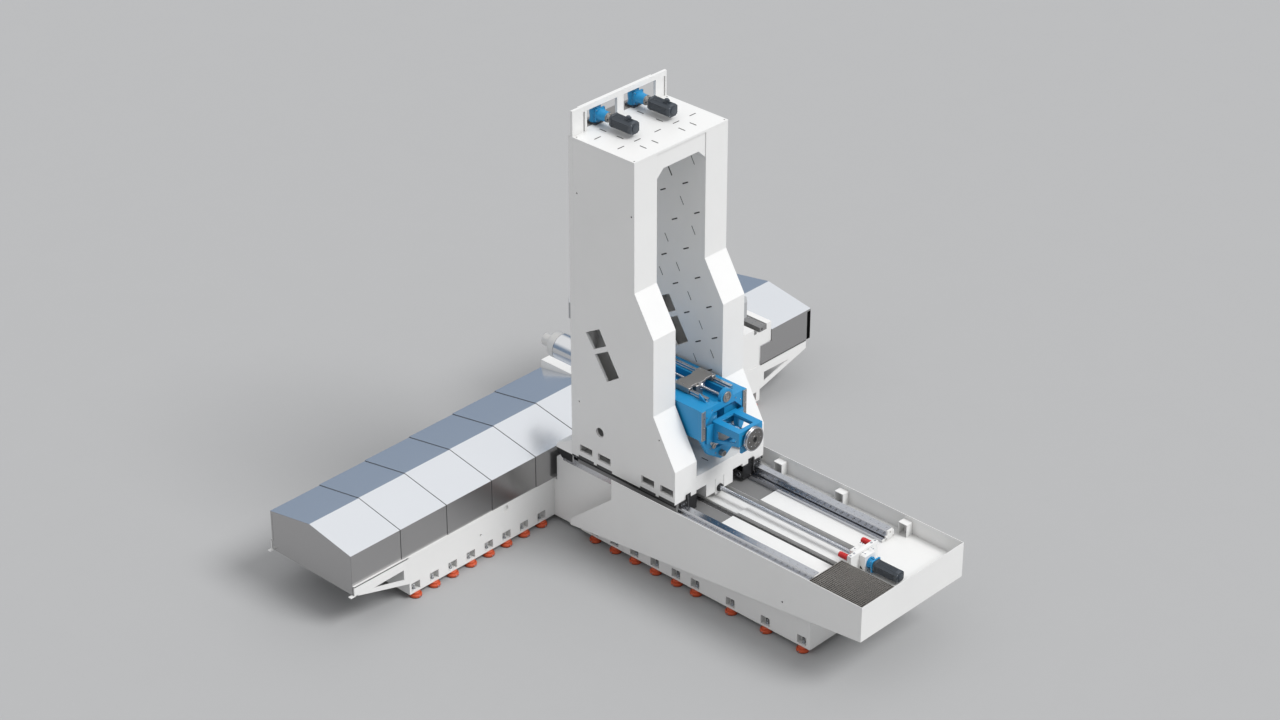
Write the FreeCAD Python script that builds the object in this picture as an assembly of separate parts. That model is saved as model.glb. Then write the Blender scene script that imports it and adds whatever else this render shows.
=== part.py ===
import FreeCAD, Part
import math
import os

os.makedirs("parts", exist_ok=True)

# Horizontal boring and machining centre, all lengths in millimetres.
# Working frame: x = 0 is the spindle plane, y = 0 the upper rear face of the column,
# z = 0 the floor. X is the table travel, Y the column travel, Z the headstock travel.

# Gaps
RUN_GAP = 0.3
CUT = 1.0
DRILL_SIDES = 12
TURNED_SIDES = 20

# Table bed along X
BED_X0 = -3834.0
BED_X1 = 3814.0
BED_RIDGE_Y = 2675.0
BED_HALF = 908.0
BED_BOTTOM = 86.0
BED_TOP = 738.0
BED_Y0 = BED_RIDGE_Y - BED_HALF
BED_Y1 = BED_RIDGE_Y + BED_HALF
XRAIL_OFFSET = 520.0
XRAIL_W = 160.0
XRAIL_H = 122.0
XRAIL_INSET = 20.0
XRAIL_TOP = BED_TOP + XRAIL_H
PORT_X = -1870.0
PORT_DROP = 73.0
PORT_R = 48.0
PORT_D = 30.0
BED_HOLE_X = -2398.0
BED_HOLE_Z = 441.0
BED_HOLE_R = 16.0

# Levelling mounts and the pockets above them
MOUNT_R = 112.0
MOUNT_H = 52.0
MOUNT_CAP_R = 80.0
MOUNT_OUT = 30.0
MOUNT_SIDES = 10
XMOUNT_END_LEFT = 120.0
XMOUNT_END_RIGHT = 168.0
XMOUNT_N = 21
XMOUNT_X0 = BED_X0 + XMOUNT_END_LEFT
XMOUNT_PITCH = (BED_X1 - XMOUNT_END_RIGHT - XMOUNT_X0) / (XMOUNT_N - 1)
ZMOUNT_Y = (903.0, 487.0, 80.0, -336.0, -761.0, -1141.0, -1831.0, -2503.0, -3190.0)
POCKET_W = 170.0
POCKET_H = 140.0
POCKET_D = 90.0
POCKET_LIFT = 34.0

# Bracket arms under the end covers
ARM_T = 60.0
ARM_TIP_H = 156.0
ARM_FOOT_Z = 280.0
ARM_LIP = 70.0
ARM_R_BACK = 100.0
ARM_LIP_H = 14.0
ARM_HOLE_IN = 96.0
ARM_HOLE_L = 590.0
ARM_HOLE_Z0 = 394.0
ARM_HOLE_Z1 = 566.0
ARM_HOLE_TIP_Z = 550.0

# Telescopic roof covers
COVER_N = 6
COVER_SHEET = 3.0
COVER_STEP = 8.0
COVER_X0 = -4881.0
COVER_X1 = 5036.0
COVER_FIRST = 947.0
COVER_PITCH = 902.0
COVER_LEN = 990.0
COVER_R_LEN = 950.0
COVER_R_STEP = 2.0
COVER_INSET = 37.0
COVER_Y_HALF = BED_HALF - COVER_INSET
COVER_EAVE_Z = 1244.0
COVER_RIDGE_Z = 1404.0
COVER_END_Z = BED_TOP - ARM_TIP_H

# Saddle, turntable and pallet
SADDLE_X0 = 680.0
SADDLE_X1 = 4075.0
SADDLE_SKIRT_X1 = 3812.0
SADDLE_INSET = 10.0
SADDLE_HALF = BED_HALF - SADDLE_INSET
SADDLE_TOP = 1431.0
SADDLE_DECK_H = 351.0
SKIRT_T = 30.0
SADDLE_FOOT_W = 220.0
SADDLE_Y0 = BED_RIDGE_Y - SADDLE_HALF
SADDLE_Y1 = BED_RIDGE_Y + SADDLE_HALF
SADDLE_DECK = SADDLE_TOP - SADDLE_DECK_H
REBATE_END = 115.0
REBATE_X1 = SADDLE_X1 - REBATE_END
REBATE_W = 300.0
REBATE_D = 95.0
TABLE_BAR_W = 165.0
TABLE_BAR_H = 80.0
SCALE_BAR_W = 60.0
SCALE_BAR_H = 45.0
TABLE_X = (SADDLE_X0 + SADDLE_X1) / 2
TABLE_BASE_R = 860.0
TABLE_NECK_R = 780.0
TABLE_NECK_H = 150.0
TABLE_BASE_H = 446.0
TABLE_BASE_TOP = SADDLE_TOP + TABLE_BASE_H
PALLET_X = 2204.0
PALLET_Y = 2104.0
PALLET_CHAMFER = 100.0
PALLET_H = 284.0
PALLET_TOP = TABLE_BASE_TOP + PALLET_H
SLOT_W = 28.0
SLOT_D = 26.0
SLOT_FOOT_W = 52.0
SLOT_FOOT_D = 22.0
SLOT_PITCH = 240.0
SLOT_N = 7

# Column bed along Y
ZBED_X = 886.0
ZBED_Y0 = -3344.0
ZBED_END = 67.0
ZBED_Y1 = BED_Y0 - ZBED_END
ZBED_TOP = 1150.0
ZBED_REAR_X = 860.0
GUIDE_Y0 = -3341.0
GUIDE_END = 140.0
GUIDE_Y1 = ZBED_Y1 - GUIDE_END
GUIDE_TOP = 1346.0
GUIDE_C = 794.0
GUIDE_OUT = 76.0
GUIDE_IN = 78.0
GUIDE_BASE_H = 110.0
RAIL_HALF = 55.0
RAIL_NECK = 44.0
RAIL_HEAD = 34.0
RAIL_SLOPE = 14.0
GROOVE_W = 18.0
GROOVE_H = 40.0
GUIDE_BAR_W = 60.0
GUIDE_BAR_Z = 75.0
DUCT_C = 240.0
DUCT_W = 116.0
DUCT_D = 60.0
DUCT_END = 80.0
DUCT_Y1 = GUIDE_Y1 - DUCT_END
SCREW_Z = 1300.0
SCREW_R = 36.0
SCREW_Y1 = GUIDE_Y1
SCREW_STAND_W = 200.0
SCREW_STAND_L = 120.0

# Sheet-metal tray
TRAY_X = 1119.0
TRAY_Y0 = -4435.0
TRAY_Y1 = 1172.0
TRAY_TOP = 1450.0
TRAY_SHEET = 8.0
TRAY_END_Z = 876.0
TRAY_REAR_Z = 295.0
TRAY_TIP_Z = 397.0
TRAY_WALL_Y = 319.0
TRAY_CUT_Z = 1105.0
FLOOR_H = 30.0
FLOOR_Y1 = -1337.0
FLOOR_TOP = ZBED_TOP + FLOOR_H
GRATE_X1 = -370.0
GRATE_Y1 = -3440.0
GRATE_TOP = 1415.0
GRATE_H = 32.0
TRAY_HOLE_Y = -3009.0
TRAY_HOLE_Z = 875.0

# Wall brackets inside the far tray wall
BRACKET_Y = (-1070.0, -2250.0, -3440.0)
BRACKET_L = 160.0
BRACKET_W = 130.0
BRACKET_T = 12.0
BRACKET_TOP = 1385.0

# Column travel drive
DRIVE_HALF = 115.0
DRIVE_Y0 = -3655.0
DRIVE_Y1 = -3367.0
DRIVE_TOP = 1430.0
DRIVE_PLATE_X = 300.0
DRIVE_PLATE_Y = -3480.0
DRIVE_PLATE_T = 70.0
DRIVE_PLATE_TOP = 1470.0
ZGEAR_HALF = 96.0
ZGEAR_L = 110.0
ZMOTOR_HALF = 84.0
ZMOTOR_L = 450.0
BUFFER_R = 46.0
BUFFER_L = 190.0
BUFFER_C = 248.0
BUFFER_Z = 1400.0

# Column
COL_X = 960.0
COL_IN = 502.0
COL_Y1 = 1188.0
COL_TOP = 6638.0
COL_PLATE = 40.0
COL_Z1 = 4599.0
COL_Y2 = -370.0
COL_Z2 = 3978.0
COL_Z3 = 2735.0
COL_Y3 = -800.0
COL_Z4 = 1973.0
COL_BASE = 1425.0
COL_WALL = 40.0
BEAM_Z = 6343.0
BEAM_Z_SIDE = 6207.0
BEAM_CHAMFER = 143.0
BEAM_Y = 12.0
BEAM_Y1 = 900.0
CROSS_Z0 = 1474.0
CROSS_TOP = 1704.0
LEG_X0 = 95.0
LEG_X1 = 288.0
LEG_Z = 1257.0
WINDOW_A = ((970.0, 3604.0), (694.0, 3759.0), (557.0, 3530.0), (806.0, 3384.0))
WINDOW_B = ((789.0, 3311.0), (525.0, 3458.0), (305.0, 3103.0), (545.0, 2945.0))
PORT_HOLE_Y = 698.0
PORT_HOLE_Z = 2027.0
PORT_HOLE_R = 77.0
PIN_R = 15.0
PIN_YZ = ((1112.0, 2389.0), (-487.0, 2392.0), (1115.0, 5789.0), (55.0, 5789.0))
SIDE_POCKET_Y = (857.0, 485.0, -392.0, -763.0)
SIDE_POCKET_L = 256.0
SIDE_POCKET_Z = 1538.0
SIDE_POCKET_H = 118.0
NOTCH_H = 36.0
NOTCH_EXTRA = 30.0
SHOE_W = 250.0
SHOE_LIP_W = 34.0
SHOE_DROP = 60.0
NUT_HALF = 88.0
NUT_L = 260.0

# Working-side frame with the vertical ways
FRAME_T = 84.0
FRAME_PLATE = 42.0
FRAME_RISE = 392.0
FRAME_BEAM = 83.0
FRAME_IN = 560.0
FRAME_HEAD = 200.0
FRAME_BACK_X0 = -780.0
FRAME_BACK_X1 = 708.0
FRAME_BACK_DROP = 14.0
FRAME_WINDOWS = ((-741.0, -706.0), (-667.0, -60.0), (74.0, 731.0), (903.0, 931.0))
FRAME_TOP = COL_TOP + FRAME_RISE
FRAME_Y1 = COL_Y1 + FRAME_T
YRAIL_X0 = 620.0
YRAIL_W = 100.0
YRAIL_T = 60.0
YRAIL_DROP = 250.0

# Apron in front of the column
APRON_L = 342.0
APRON_Z0 = 1401.0
APRON_Z1 = 1460.0
APRON_Z2 = 1622.0
APRON_SHEET = 4.0
APRON_CHAMFER = 93.0
APRON_SIDE = 6.0
SKIRT_Z = 1262.0
SKIRT_BACK = 121.0
SKIRT_W = 24.0

# Vertical ball screws and their drives
YSCREW_X = 390.0
YSCREW_Y = 1305.0
YSCREW_R = 32.0
SHELF_T = 60.0
SHELF_L = 213.0
GEAR_BASE_H = 30.0
GEAR_HALF = 86.0
GEAR_TOP = 262.0
DRIVE_AXIS = 157.0
FLANGE_T = 26.0
BELL_R = 94.0
BELL_R_END = 76.0
BELL_L = 150.0
ADAPTER_HALF = 74.0
ADAPTER_L = 100.0
MOTOR_HALF = 92.0
MOTOR_CHAMFER = 34.0
MOTOR_L = 430.0
PLUG_W = 80.0
PLUG_L = 90.0
PLUG_H = 60.0
PLUG_BACK = 110.0

# Headstock
AXIS_Z = 2400.0
HEAD_X = 470.0
HEAD_Y0 = -800.0
HEAD_Z0 = 2305.0
HEAD_TOP = 2800.0
HEAD_FRONT_Y1 = 1540.0
WING_Y1 = 1460.0
HEAD_FRONT_Z0 = 1900.0
HEAD_FRONT_CLEAR = 24.0
WING_OUT = 40.0
SCREW_CLEAR = 8.0
FEED_X = 60.0
CHANNEL_HALF = 185.0
CHANNEL_D = 180.0
CHANNEL_Y1 = 620.0
SPINDLE_R = 103.0
SLEEVE_R = 206.0
SLEEVE_FLANGE_R = 226.0
SLEEVE_FLANGE_T = 60.0
SLEEVE_Y1 = 2560.0
SPINDLE_TIP = 2777.0
TAPER_R = 42.0
TAPER_D = 130.0
END_T = 60.0
END_OUT = ((475.0, 2800.0), (475.0, 2311.0), (326.0, 2027.0), (55.0, 1849.0))
END_HOLE = ((234.0, 2690.0), (381.0, 2545.0), (381.0, 2398.0), (271.0, 2176.0), (200.0, 2060.0))
PAD_W = 74.0
PAD_T = 14.0
STUB_R = 46.0
STUB_X = -50.0
STUB_Z = 1950.0
STUB_L = 70.0
CAGE_X = 250.0
CAGE_L = 580.0
CAGE_TOP = 2560.0
CAGE_WALL = 34.0
CAGE_TAIL_Z = 2335.0
CAGE_HEAD_Z = 2205.0
CAGE_WIN_X = 135.0
CAGE_WIN_END = 72.0
CAGE_SIDE = ((90.0, 2434.0), (470.0, 2438.0), (452.0, 2375.0), (100.0, 2275.0))
DISC_R = 188.0
DISC_T = 60.0
DISC_NECK_R = 110.0
DISC_NECK_T = 30.0
TAIL_R = 70.0
HUB_R = 34.0
HUB_D = 24.0
WRAIL_X = 250.0
WRAIL_W = 52.0
WRAIL_H = 60.0
WRAIL_Y0 = -730.0
WRAIL_Y1 = 600.0
WSCREW_Z = 2812.0
WSCREW_R = 24.0
BOSS_R = 126.0
BOSS_Z = 2835.0
BOSS_DISC_R = 94.0
BOSS_DISC_T = 14.0
CARRIAGE_X = 290.0
CARRIAGE_Y0 = -386.0
CARRIAGE_Y1 = -72.0
CARRIAGE_H = 40.0
ARM_HALF = 70.0
ARM_L = 120.0
JOURNAL_R = 66.0
SLOT_HALF = 78.0
GUSSET_Y = -740.0
GUSSET_H = 96.0
GUSSET_L = 150.0
GUSSET_T = 20.0
W_TRAVEL = 480.0

V = FreeCAD.Vector
SIDE_MAX_Y = BED_RIDGE_Y + PALLET_Y / 2
OFF = V(-(COVER_X0 + COVER_SHEET - ARM_LIP + COVER_X1) / 2, -(TRAY_Y0 + SIDE_MAX_Y) / 2, 0)


def box(x0, x1, y0, y1, z0, z1):
    return Part.makeBox(x1 - x0, y1 - y0, z1 - z0, V(x0, y0, z0))


def wide(c, w):
    return c - w / 2, c + w / 2


def mirror_x(shape):
    return shape.mirror(V(0, 0, 0), V(1, 0, 0))


def both(shape):
    return [shape, mirror_x(shape)]


def prism(points, direction, start):
    wire = Part.makePolygon(list(points) + [points[0]])
    solid = Part.Face(wire).extrude(direction)
    solid.translate(start)
    return solid


def prism_x(points, x0, x1):
    return prism([V(0, y, z) for y, z in points], V(x1 - x0, 0, 0), V(x0, 0, 0))


def prism_y(points, y0, y1):
    return prism([V(x, 0, z) for x, z in points], V(0, y1 - y0, 0), V(0, y0, 0))


def prism_z(points, z0, z1):
    return prism([V(x, y, 0) for x, y in points], V(0, 0, z1 - z0), V(0, 0, z0))


def ring(n, r, a, b):
    step = 2 * math.pi / n
    return [(a + r * math.cos(step * (i + 0.5)), b + r * math.sin(step * (i + 0.5))) for i in range(n)]


def drill_x(r, y, z, x0, x1):
    return prism_x(ring(DRILL_SIDES, r, y, z), x0, x1)


def cyl_y(r, x, z, y0, y1):
    return Part.makeCylinder(r, y1 - y0, V(x, y0, z), V(0, 1, 0))


def cyl_x(r, y, z, x0, x1):
    return Part.makeCylinder(r, x1 - x0, V(x0, y, z), V(1, 0, 0))


def cyl_z(r, x, y, z0, z1):
    return Part.makeCylinder(r, z1 - z0, V(x, y, z0), V(0, 0, 1))


def taper_y(r0, r1, x, z, y0, y1):
    wires = []
    for r, y in ((r0, y0), (r1, y1)):
        points = [V(a, y, b) for a, b in ring(TURNED_SIDES, r, x, z)]
        wires.append(Part.makePolygon(points + [points[0]]))
    return Part.makeLoft(wires, True, True)


def inset(points, d):
    # Offsets a counter-clockwise outline inwards by d.
    out = []
    n = len(points)
    for i in range(n):
        ax, ay = points[i - 1]
        bx, by = points[i]
        cx, cy = points[(i + 1) % n]
        ux, uy = bx - ax, by - ay
        wx, wy = cx - bx, cy - by
        lu, lw = math.hypot(ux, uy), math.hypot(wx, wy)
        px, py = ax - uy / lu * d, ay + ux / lu * d
        qx, qy = bx - wy / lw * d, by + wx / lw * d
        t = ((qx - px) * wy - (qy - py) * wx) / (ux * wy - uy * wx)
        out.append((px + t * ux, py + t * uy))
    return out


def octagon(half, chamfer, xc, zc):
    k = half - chamfer
    points = [(half, -k), (half, k), (k, half), (-k, half)]
    points += [(-a, -b) for a, b in points]
    return [(xc + a, zc + b) for a, b in points]


def cut_all(shape, tools):
    return shape.cut(Part.makeCompound(tools)) if tools else shape


def save(name, shapes):
    if not isinstance(shapes, list):
        shapes = [shapes]
    solids = [s for shape in shapes for s in shape.Solids]
    shape = solids[0] if len(solids) == 1 else Part.makeCompound(solids)
    shape = shape.copy()
    shape.translate(OFF)
    shape.exportStep("parts/" + name + ".step")


# Table bed with access pockets above the levelling mounts
bed = box(BED_X0, BED_X1, BED_Y0, BED_Y1, BED_BOTTOM, BED_TOP)
mount_x = [XMOUNT_X0 + XMOUNT_PITCH * i for i in range(XMOUNT_N)]
near_x = [x for x in mount_x if abs(x) > ZBED_X + POCKET_W]
pz0 = BED_BOTTOM + POCKET_LIFT
pz1 = pz0 + POCKET_H
pockets = []
for x in near_x:
    a, b = wide(x, POCKET_W)
    pockets.append(box(a, b, BED_Y0 - CUT, BED_Y0 + POCKET_D, pz0, pz1))
for x in mount_x:
    a, b = wide(x, POCKET_W)
    pockets.append(box(a, b, BED_Y1 - POCKET_D, BED_Y1 + CUT, pz0, pz1))
pockets.append(cyl_y(PORT_R, PORT_X, BED_TOP - PORT_DROP, BED_Y0 - CUT, BED_Y0 + PORT_D))
pockets.append(cyl_y(BED_HOLE_R, BED_HOLE_X, BED_HOLE_Z, BED_Y0 - CUT, BED_Y0 + PORT_D))
save("x_bed", cut_all(bed, pockets))

rails = []
for s in (-1, 1):
    a, b = wide(BED_RIDGE_Y + s * XRAIL_OFFSET, XRAIL_W)
    rails.append(box(BED_X0 + XRAIL_INSET, BED_X1 - XRAIL_INSET, a, b, BED_TOP, XRAIL_TOP))
save("x_rails", rails)


# Levelling mounts: a round foot with a smaller cap that carries the bed
def mount(x, y):
    foot = prism_z(ring(MOUNT_SIDES, MOUNT_R, x, y), 0, MOUNT_H)
    return foot.fuse(prism_z(ring(MOUNT_SIDES, MOUNT_CAP_R, x, y), MOUNT_H, BED_BOTTOM))


inward = MOUNT_CAP_R - MOUNT_OUT
mounts = [mount(x, BED_Y0 + inward) for x in near_x]
mounts += [mount(x, BED_Y1 - inward) for x in mount_x]
for y in ZMOUNT_Y:
    mounts += both(mount(ZBED_X - inward, y))
save("levelling_mounts", mounts)

# Bracket arms that carry the end covers
arms = []
tip_z = COVER_END_Z
for root, tip, s in ((BED_X0, COVER_X0 + COVER_SHEET, -1), (BED_X1, COVER_X1 - ARM_R_BACK, 1)):
    outline = [(root, BED_TOP), (tip, BED_TOP), (tip, tip_z), (root, ARM_FOOT_Z)]
    hx = root + s * ARM_HOLE_IN
    hole = [(hx, ARM_HOLE_Z0), (hx, ARM_HOLE_Z1), (hx + s * ARM_HOLE_L, ARM_HOLE_TIP_Z)]
    for y0 in (BED_Y0, BED_Y1 - ARM_T):
        y1 = y0 + ARM_T
        arm = prism_y(outline, y0, y1).cut(prism_y(hole, y0 - CUT, y1 + CUT))
        if s < 0:
            arm = arm.fuse(box(tip - ARM_LIP, tip + ARM_LIP, y0, y1, tip_z - ARM_LIP_H, tip_z))
        arms.append(arm.removeSplitter())
save("x_arms", arms)


# Telescopic covers: each box is a sheet roof with two side walls
def cover(x0, x1, k, end):
    lift = COVER_STEP * (k - 1)
    half = COVER_Y_HALF + lift
    yc = BED_RIDGE_Y
    ze = COVER_EAVE_Z + lift
    zr = COVER_RIDGE_Z + lift
    zb = BED_TOP if k == 1 else BED_TOP + RUN_GAP
    t = COVER_SHEET
    outer = [(yc - half, zb), (yc + half, zb), (yc + half, ze), (yc, zr), (yc - half, ze)]
    shell = prism_x(outer, x0, x1)
    h = half - t
    inner = [(yc - h, zb - CUT), (yc + h, zb - CUT), (yc + h, ze - t), (yc, zr - t), (yc - h, ze - t)]
    shell = shell.cut(prism_x(inner, x0 - CUT, x1 + CUT))
    if end:
        a = x0 if end < 0 else x1 - t
        foot = COVER_END_Z if end < 0 else zb
        face = [(yc - half, foot), (yc + half, foot)] + outer[2:]
        shell = shell.fuse(prism_x(face, a, a + t)).removeSplitter()
    return shell


for k in range(1, COVER_N + 1):
    first = k == 1
    last = k == COVER_N
    lx0 = COVER_X0 if first else COVER_X0 + COVER_FIRST + COVER_PITCH * (k - 2)
    lx1 = SADDLE_X0 if last else lx0 + COVER_LEN
    rx1 = COVER_X1 - (k - 1) * COVER_R_STEP
    rx0 = SADDLE_X1 if last else rx1 - COVER_R_LEN
    pair = [cover(lx0, lx1, k, -1 if first else 0), cover(rx0, rx1, k, 1 if first else 0)]
    save("cover_" + str(k), pair)

# Saddle on the table bed, with a rebate for the turntable feed guide
deck = box(SADDLE_X0, SADDLE_X1, SADDLE_Y0, SADDLE_Y1, SADDLE_DECK, SADDLE_TOP)
rebate_x0 = REBATE_X1 - REBATE_W
rebate_z = SADDLE_TOP - REBATE_D
deck = deck.cut(box(rebate_x0, REBATE_X1, SADDLE_Y0 - CUT, SADDLE_Y1 + CUT, rebate_z, SADDLE_TOP + CUT))
under = []
for s in (-1, 1):
    a, b = wide(BED_RIDGE_Y + s * XRAIL_OFFSET, SADDLE_FOOT_W)
    under.append(box(SADDLE_X0, SADDLE_SKIRT_X1, a, b, XRAIL_TOP + RUN_GAP, SADDLE_DECK))
for y in (SADDLE_Y0, SADDLE_Y1 - SKIRT_T):
    under.append(box(SADDLE_X0, SADDLE_SKIRT_X1, y, y + SKIRT_T, BED_TOP + RUN_GAP, SADDLE_DECK))
save("saddle", deck.multiFuse(under).removeSplitter())
bar_x0 = REBATE_X1 - TABLE_BAR_W
scale_x1 = rebate_x0 + SCALE_BAR_W
bars = [box(bar_x0, REBATE_X1, SADDLE_Y0, SADDLE_Y1, rebate_z, rebate_z + TABLE_BAR_H),
        box(rebate_x0, scale_x1, SADDLE_Y0, SADDLE_Y1, rebate_z, rebate_z + SCALE_BAR_H)]
save("saddle_guide_bars", bars)
table = cyl_z(TABLE_BASE_R, TABLE_X, BED_RIDGE_Y, SADDLE_TOP, TABLE_BASE_TOP - TABLE_NECK_H)
neck = cyl_z(TABLE_NECK_R, TABLE_X, BED_RIDGE_Y, TABLE_BASE_TOP - TABLE_NECK_H, TABLE_BASE_TOP)
save("turntable_base", table.fuse(neck))
px0, px1 = wide(TABLE_X, PALLET_X)
py0, py1 = wide(BED_RIDGE_Y, PALLET_Y)
c = PALLET_CHAMFER
plan = [(px0 + c, py0), (px1 - c, py0), (px1, py0 + c), (px1, py1 - c),
        (px1 - c, py1), (px0 + c, py1), (px0, py1 - c), (px0, py0 + c)]
pallet = prism_z(plan, TABLE_BASE_TOP + RUN_GAP, PALLET_TOP)
slots = []
for i in range(SLOT_N):
    yc = BED_RIDGE_Y + (i - (SLOT_N - 1) / 2) * SLOT_PITCH
    a, b = wide(yc, SLOT_W)
    slots.append(box(px0 - CUT, px1 + CUT, a, b, PALLET_TOP - SLOT_D, PALLET_TOP + CUT))
    a, b = wide(yc, SLOT_FOOT_W)
    slots.append(box(px0 - CUT, px1 + CUT, a, b, PALLET_TOP - SLOT_D - SLOT_FOOT_D, PALLET_TOP - SLOT_D))
save("pallet", cut_all(pallet, slots))

# Column bed with two cable ducts in its top
zbed = box(-ZBED_X, ZBED_X, ZBED_Y0, TRAY_WALL_Y, BED_BOTTOM, ZBED_TOP)
zbed = zbed.fuse(box(-ZBED_REAR_X, ZBED_REAR_X, TRAY_WALL_Y, ZBED_Y1, BED_BOTTOM, ZBED_TOP))
zbed = zbed.fuse(box(-ZBED_X, ZBED_X, TRAY_WALL_Y, TRAY_Y1, BED_BOTTOM, TRAY_REAR_Z))
zbed = zbed.fuse(box(-ZBED_REAR_X, ZBED_REAR_X, ZBED_Y1, BED_Y0, BED_BOTTOM, BED_TOP))
stand_x = SCREW_STAND_W / 2
stand = box(-stand_x, stand_x, SCREW_Y1, SCREW_Y1 + SCREW_STAND_L, ZBED_TOP, SCREW_Z + stand_x)
zbed = zbed.fuse(stand).removeSplitter()
cuts = []
for y in ZMOUNT_Y:
    a, b = wide(y, POCKET_W)
    cuts += both(box(ZBED_X - POCKET_D, ZBED_X + CUT, a, b, pz0, pz1))
a, b = wide(DUCT_C, DUCT_W)
cuts += both(box(a, b, ZBED_Y0 + DUCT_D, DUCT_Y1, ZBED_TOP - DUCT_D, ZBED_TOP + CUT))
save("z_bed", cut_all(zbed, cuts))

# Guideways: a base, a ground rail on it and a narrow bar on the inner side
base_top = ZBED_TOP + GUIDE_BASE_H
head_z = GUIDE_TOP - RAIL_HEAD
base_x0 = GUIDE_C - GUIDE_IN
base_x1 = GUIDE_C + GUIDE_OUT
groove_x = base_x0 - GROOVE_W
bar_x = groove_x - GUIDE_BAR_W
right_side = [(base_x1, ZBED_TOP), (base_x1, base_top), (GUIDE_C + RAIL_NECK, base_top),
              (GUIDE_C + RAIL_NECK, head_z - RAIL_SLOPE), (GUIDE_C + RAIL_HALF, head_z),
              (GUIDE_C + RAIL_HALF, GUIDE_TOP)]
left_side = [(GUIDE_C - RAIL_HALF, GUIDE_TOP), (GUIDE_C - RAIL_HALF, head_z),
             (GUIDE_C - RAIL_NECK, head_z - RAIL_SLOPE), (GUIDE_C - RAIL_NECK, base_top),
             (base_x0, base_top), (base_x0, ZBED_TOP + GROOVE_H), (groove_x, ZBED_TOP + GROOVE_H),
             (groove_x, ZBED_TOP + GUIDE_BAR_Z), (bar_x, ZBED_TOP + GUIDE_BAR_Z), (bar_x, ZBED_TOP)]
save("z_guides", both(prism_y(right_side + left_side, GUIDE_Y0, GUIDE_Y1)))

# Tray: sloping underside, raised floor panel, open rear end
t = TRAY_SHEET
side = [(TRAY_Y0, TRAY_END_Z), (TRAY_Y1, TRAY_REAR_Z), (TRAY_Y1, TRAY_TIP_Z), (TRAY_WALL_Y, TRAY_CUT_Z),
        (TRAY_WALL_Y, TRAY_TOP), (TRAY_Y0, TRAY_TOP)]
wall = prism_x(side, TRAY_X - t, TRAY_X)
wall = wall.cut(drill_x(PIN_R, TRAY_HOLE_Y, TRAY_HOLE_Z, TRAY_X - t - CUT, TRAY_X + CUT))
end_wall = box(-TRAY_X, TRAY_X, TRAY_Y0, TRAY_Y0 + t, TRAY_END_Z, TRAY_TOP)
under = prism_x([(TRAY_Y0, TRAY_END_Z), (TRAY_Y1, TRAY_REAR_Z), (TRAY_Y1, TRAY_REAR_Z + t),
                 (TRAY_Y0, TRAY_END_Z + t)], -TRAY_X, TRAY_X)
under = under.cut(box(-ZBED_X, ZBED_X, ZBED_Y0, TRAY_Y1 + CUT, 0, TRAY_TOP))
floor = box(-TRAY_X + t, TRAY_X - t, TRAY_Y0 + t, FLOOR_Y1, ZBED_TOP, FLOOR_TOP)
strips = both(box(ZBED_X, TRAY_X - t, FLOOR_Y1, TRAY_WALL_Y, ZBED_TOP, FLOOR_TOP))
cut_y1 = FLOOR_Y1 + CUT
cut_z0 = ZBED_TOP - CUT
cut_z1 = FLOOR_TOP + CUT
floor_cuts = both(box(bar_x, base_x1, GUIDE_Y0, cut_y1, cut_z0, cut_z1))
floor_cuts += both(box(a, b, ZBED_Y0 + DUCT_D, cut_y1, cut_z0, cut_z1))
tray = end_wall.multiFuse(both(wall) + [under, cut_all(floor, floor_cuts)] + strips)
grate_x0 = -TRAY_X + t
grate_y0 = TRAY_Y0 + t
grate = box(grate_x0, GRATE_X1, grate_y0, GRATE_Y1, GRATE_TOP - GRATE_H, GRATE_TOP)
legs = []
for x in (grate_x0, GRATE_X1 - GRATE_H):
    for y in (grate_y0, GRATE_Y1 - GRATE_H):
        legs.append(box(x, x + GRATE_H, y, y + GRATE_H, FLOOR_TOP, GRATE_TOP - GRATE_H))
save("grating", grate.multiFuse(legs))

# Open box brackets standing on the floor by the far tray wall
brackets = []
for y in BRACKET_Y:
    a, b = wide(y, BRACKET_L)
    x1 = TRAY_X - t
    x0 = x1 - BRACKET_W
    frame = box(x0, x1, a, b, FLOOR_TOP, BRACKET_TOP)
    inner_x = x1 - BRACKET_T
    inner_z = BRACKET_TOP - BRACKET_T
    frame = frame.cut(box(x0 - CUT, inner_x, a + BRACKET_T, b - BRACKET_T, FLOOR_TOP - CUT, inner_z))
    brackets.append(frame)
save("tray", tray.multiFuse(brackets).removeSplitter())

# Column travel drive: screw, block, gearbox, motor and buffers
block = box(-DRIVE_HALF, DRIVE_HALF, DRIVE_Y0, DRIVE_Y1, FLOOR_TOP, DRIVE_TOP)
plate_y0 = DRIVE_PLATE_Y - DRIVE_PLATE_T
plate = box(-DRIVE_PLATE_X, DRIVE_PLATE_X, plate_y0, DRIVE_PLATE_Y, FLOOR_TOP, DRIVE_PLATE_TOP)
save("z_drive_block", block.fuse(plate).removeSplitter())
gear_y0 = DRIVE_Y0 - ZGEAR_L
gear = box(-ZGEAR_HALF, ZGEAR_HALF, gear_y0, DRIVE_Y0, SCREW_Z - ZGEAR_HALF, SCREW_Z + ZGEAR_HALF)
save("z_drive_gearbox", gear)
zmotor = prism_y(octagon(ZMOTOR_HALF, MOTOR_CHAMFER, 0, SCREW_Z), gear_y0 - ZMOTOR_L, gear_y0)
save("z_drive_motor", zmotor)
save("z_screw", cyl_y(SCREW_R, 0, SCREW_Z, DRIVE_Y1, SCREW_Y1))
buffer_ring = ring(TURNED_SIDES, BUFFER_R, BUFFER_C, BUFFER_Z)
buffers = both(prism_y(buffer_ring, DRIVE_PLATE_Y, DRIVE_PLATE_Y + BUFFER_L))
save("z_buffers", buffers)

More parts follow.
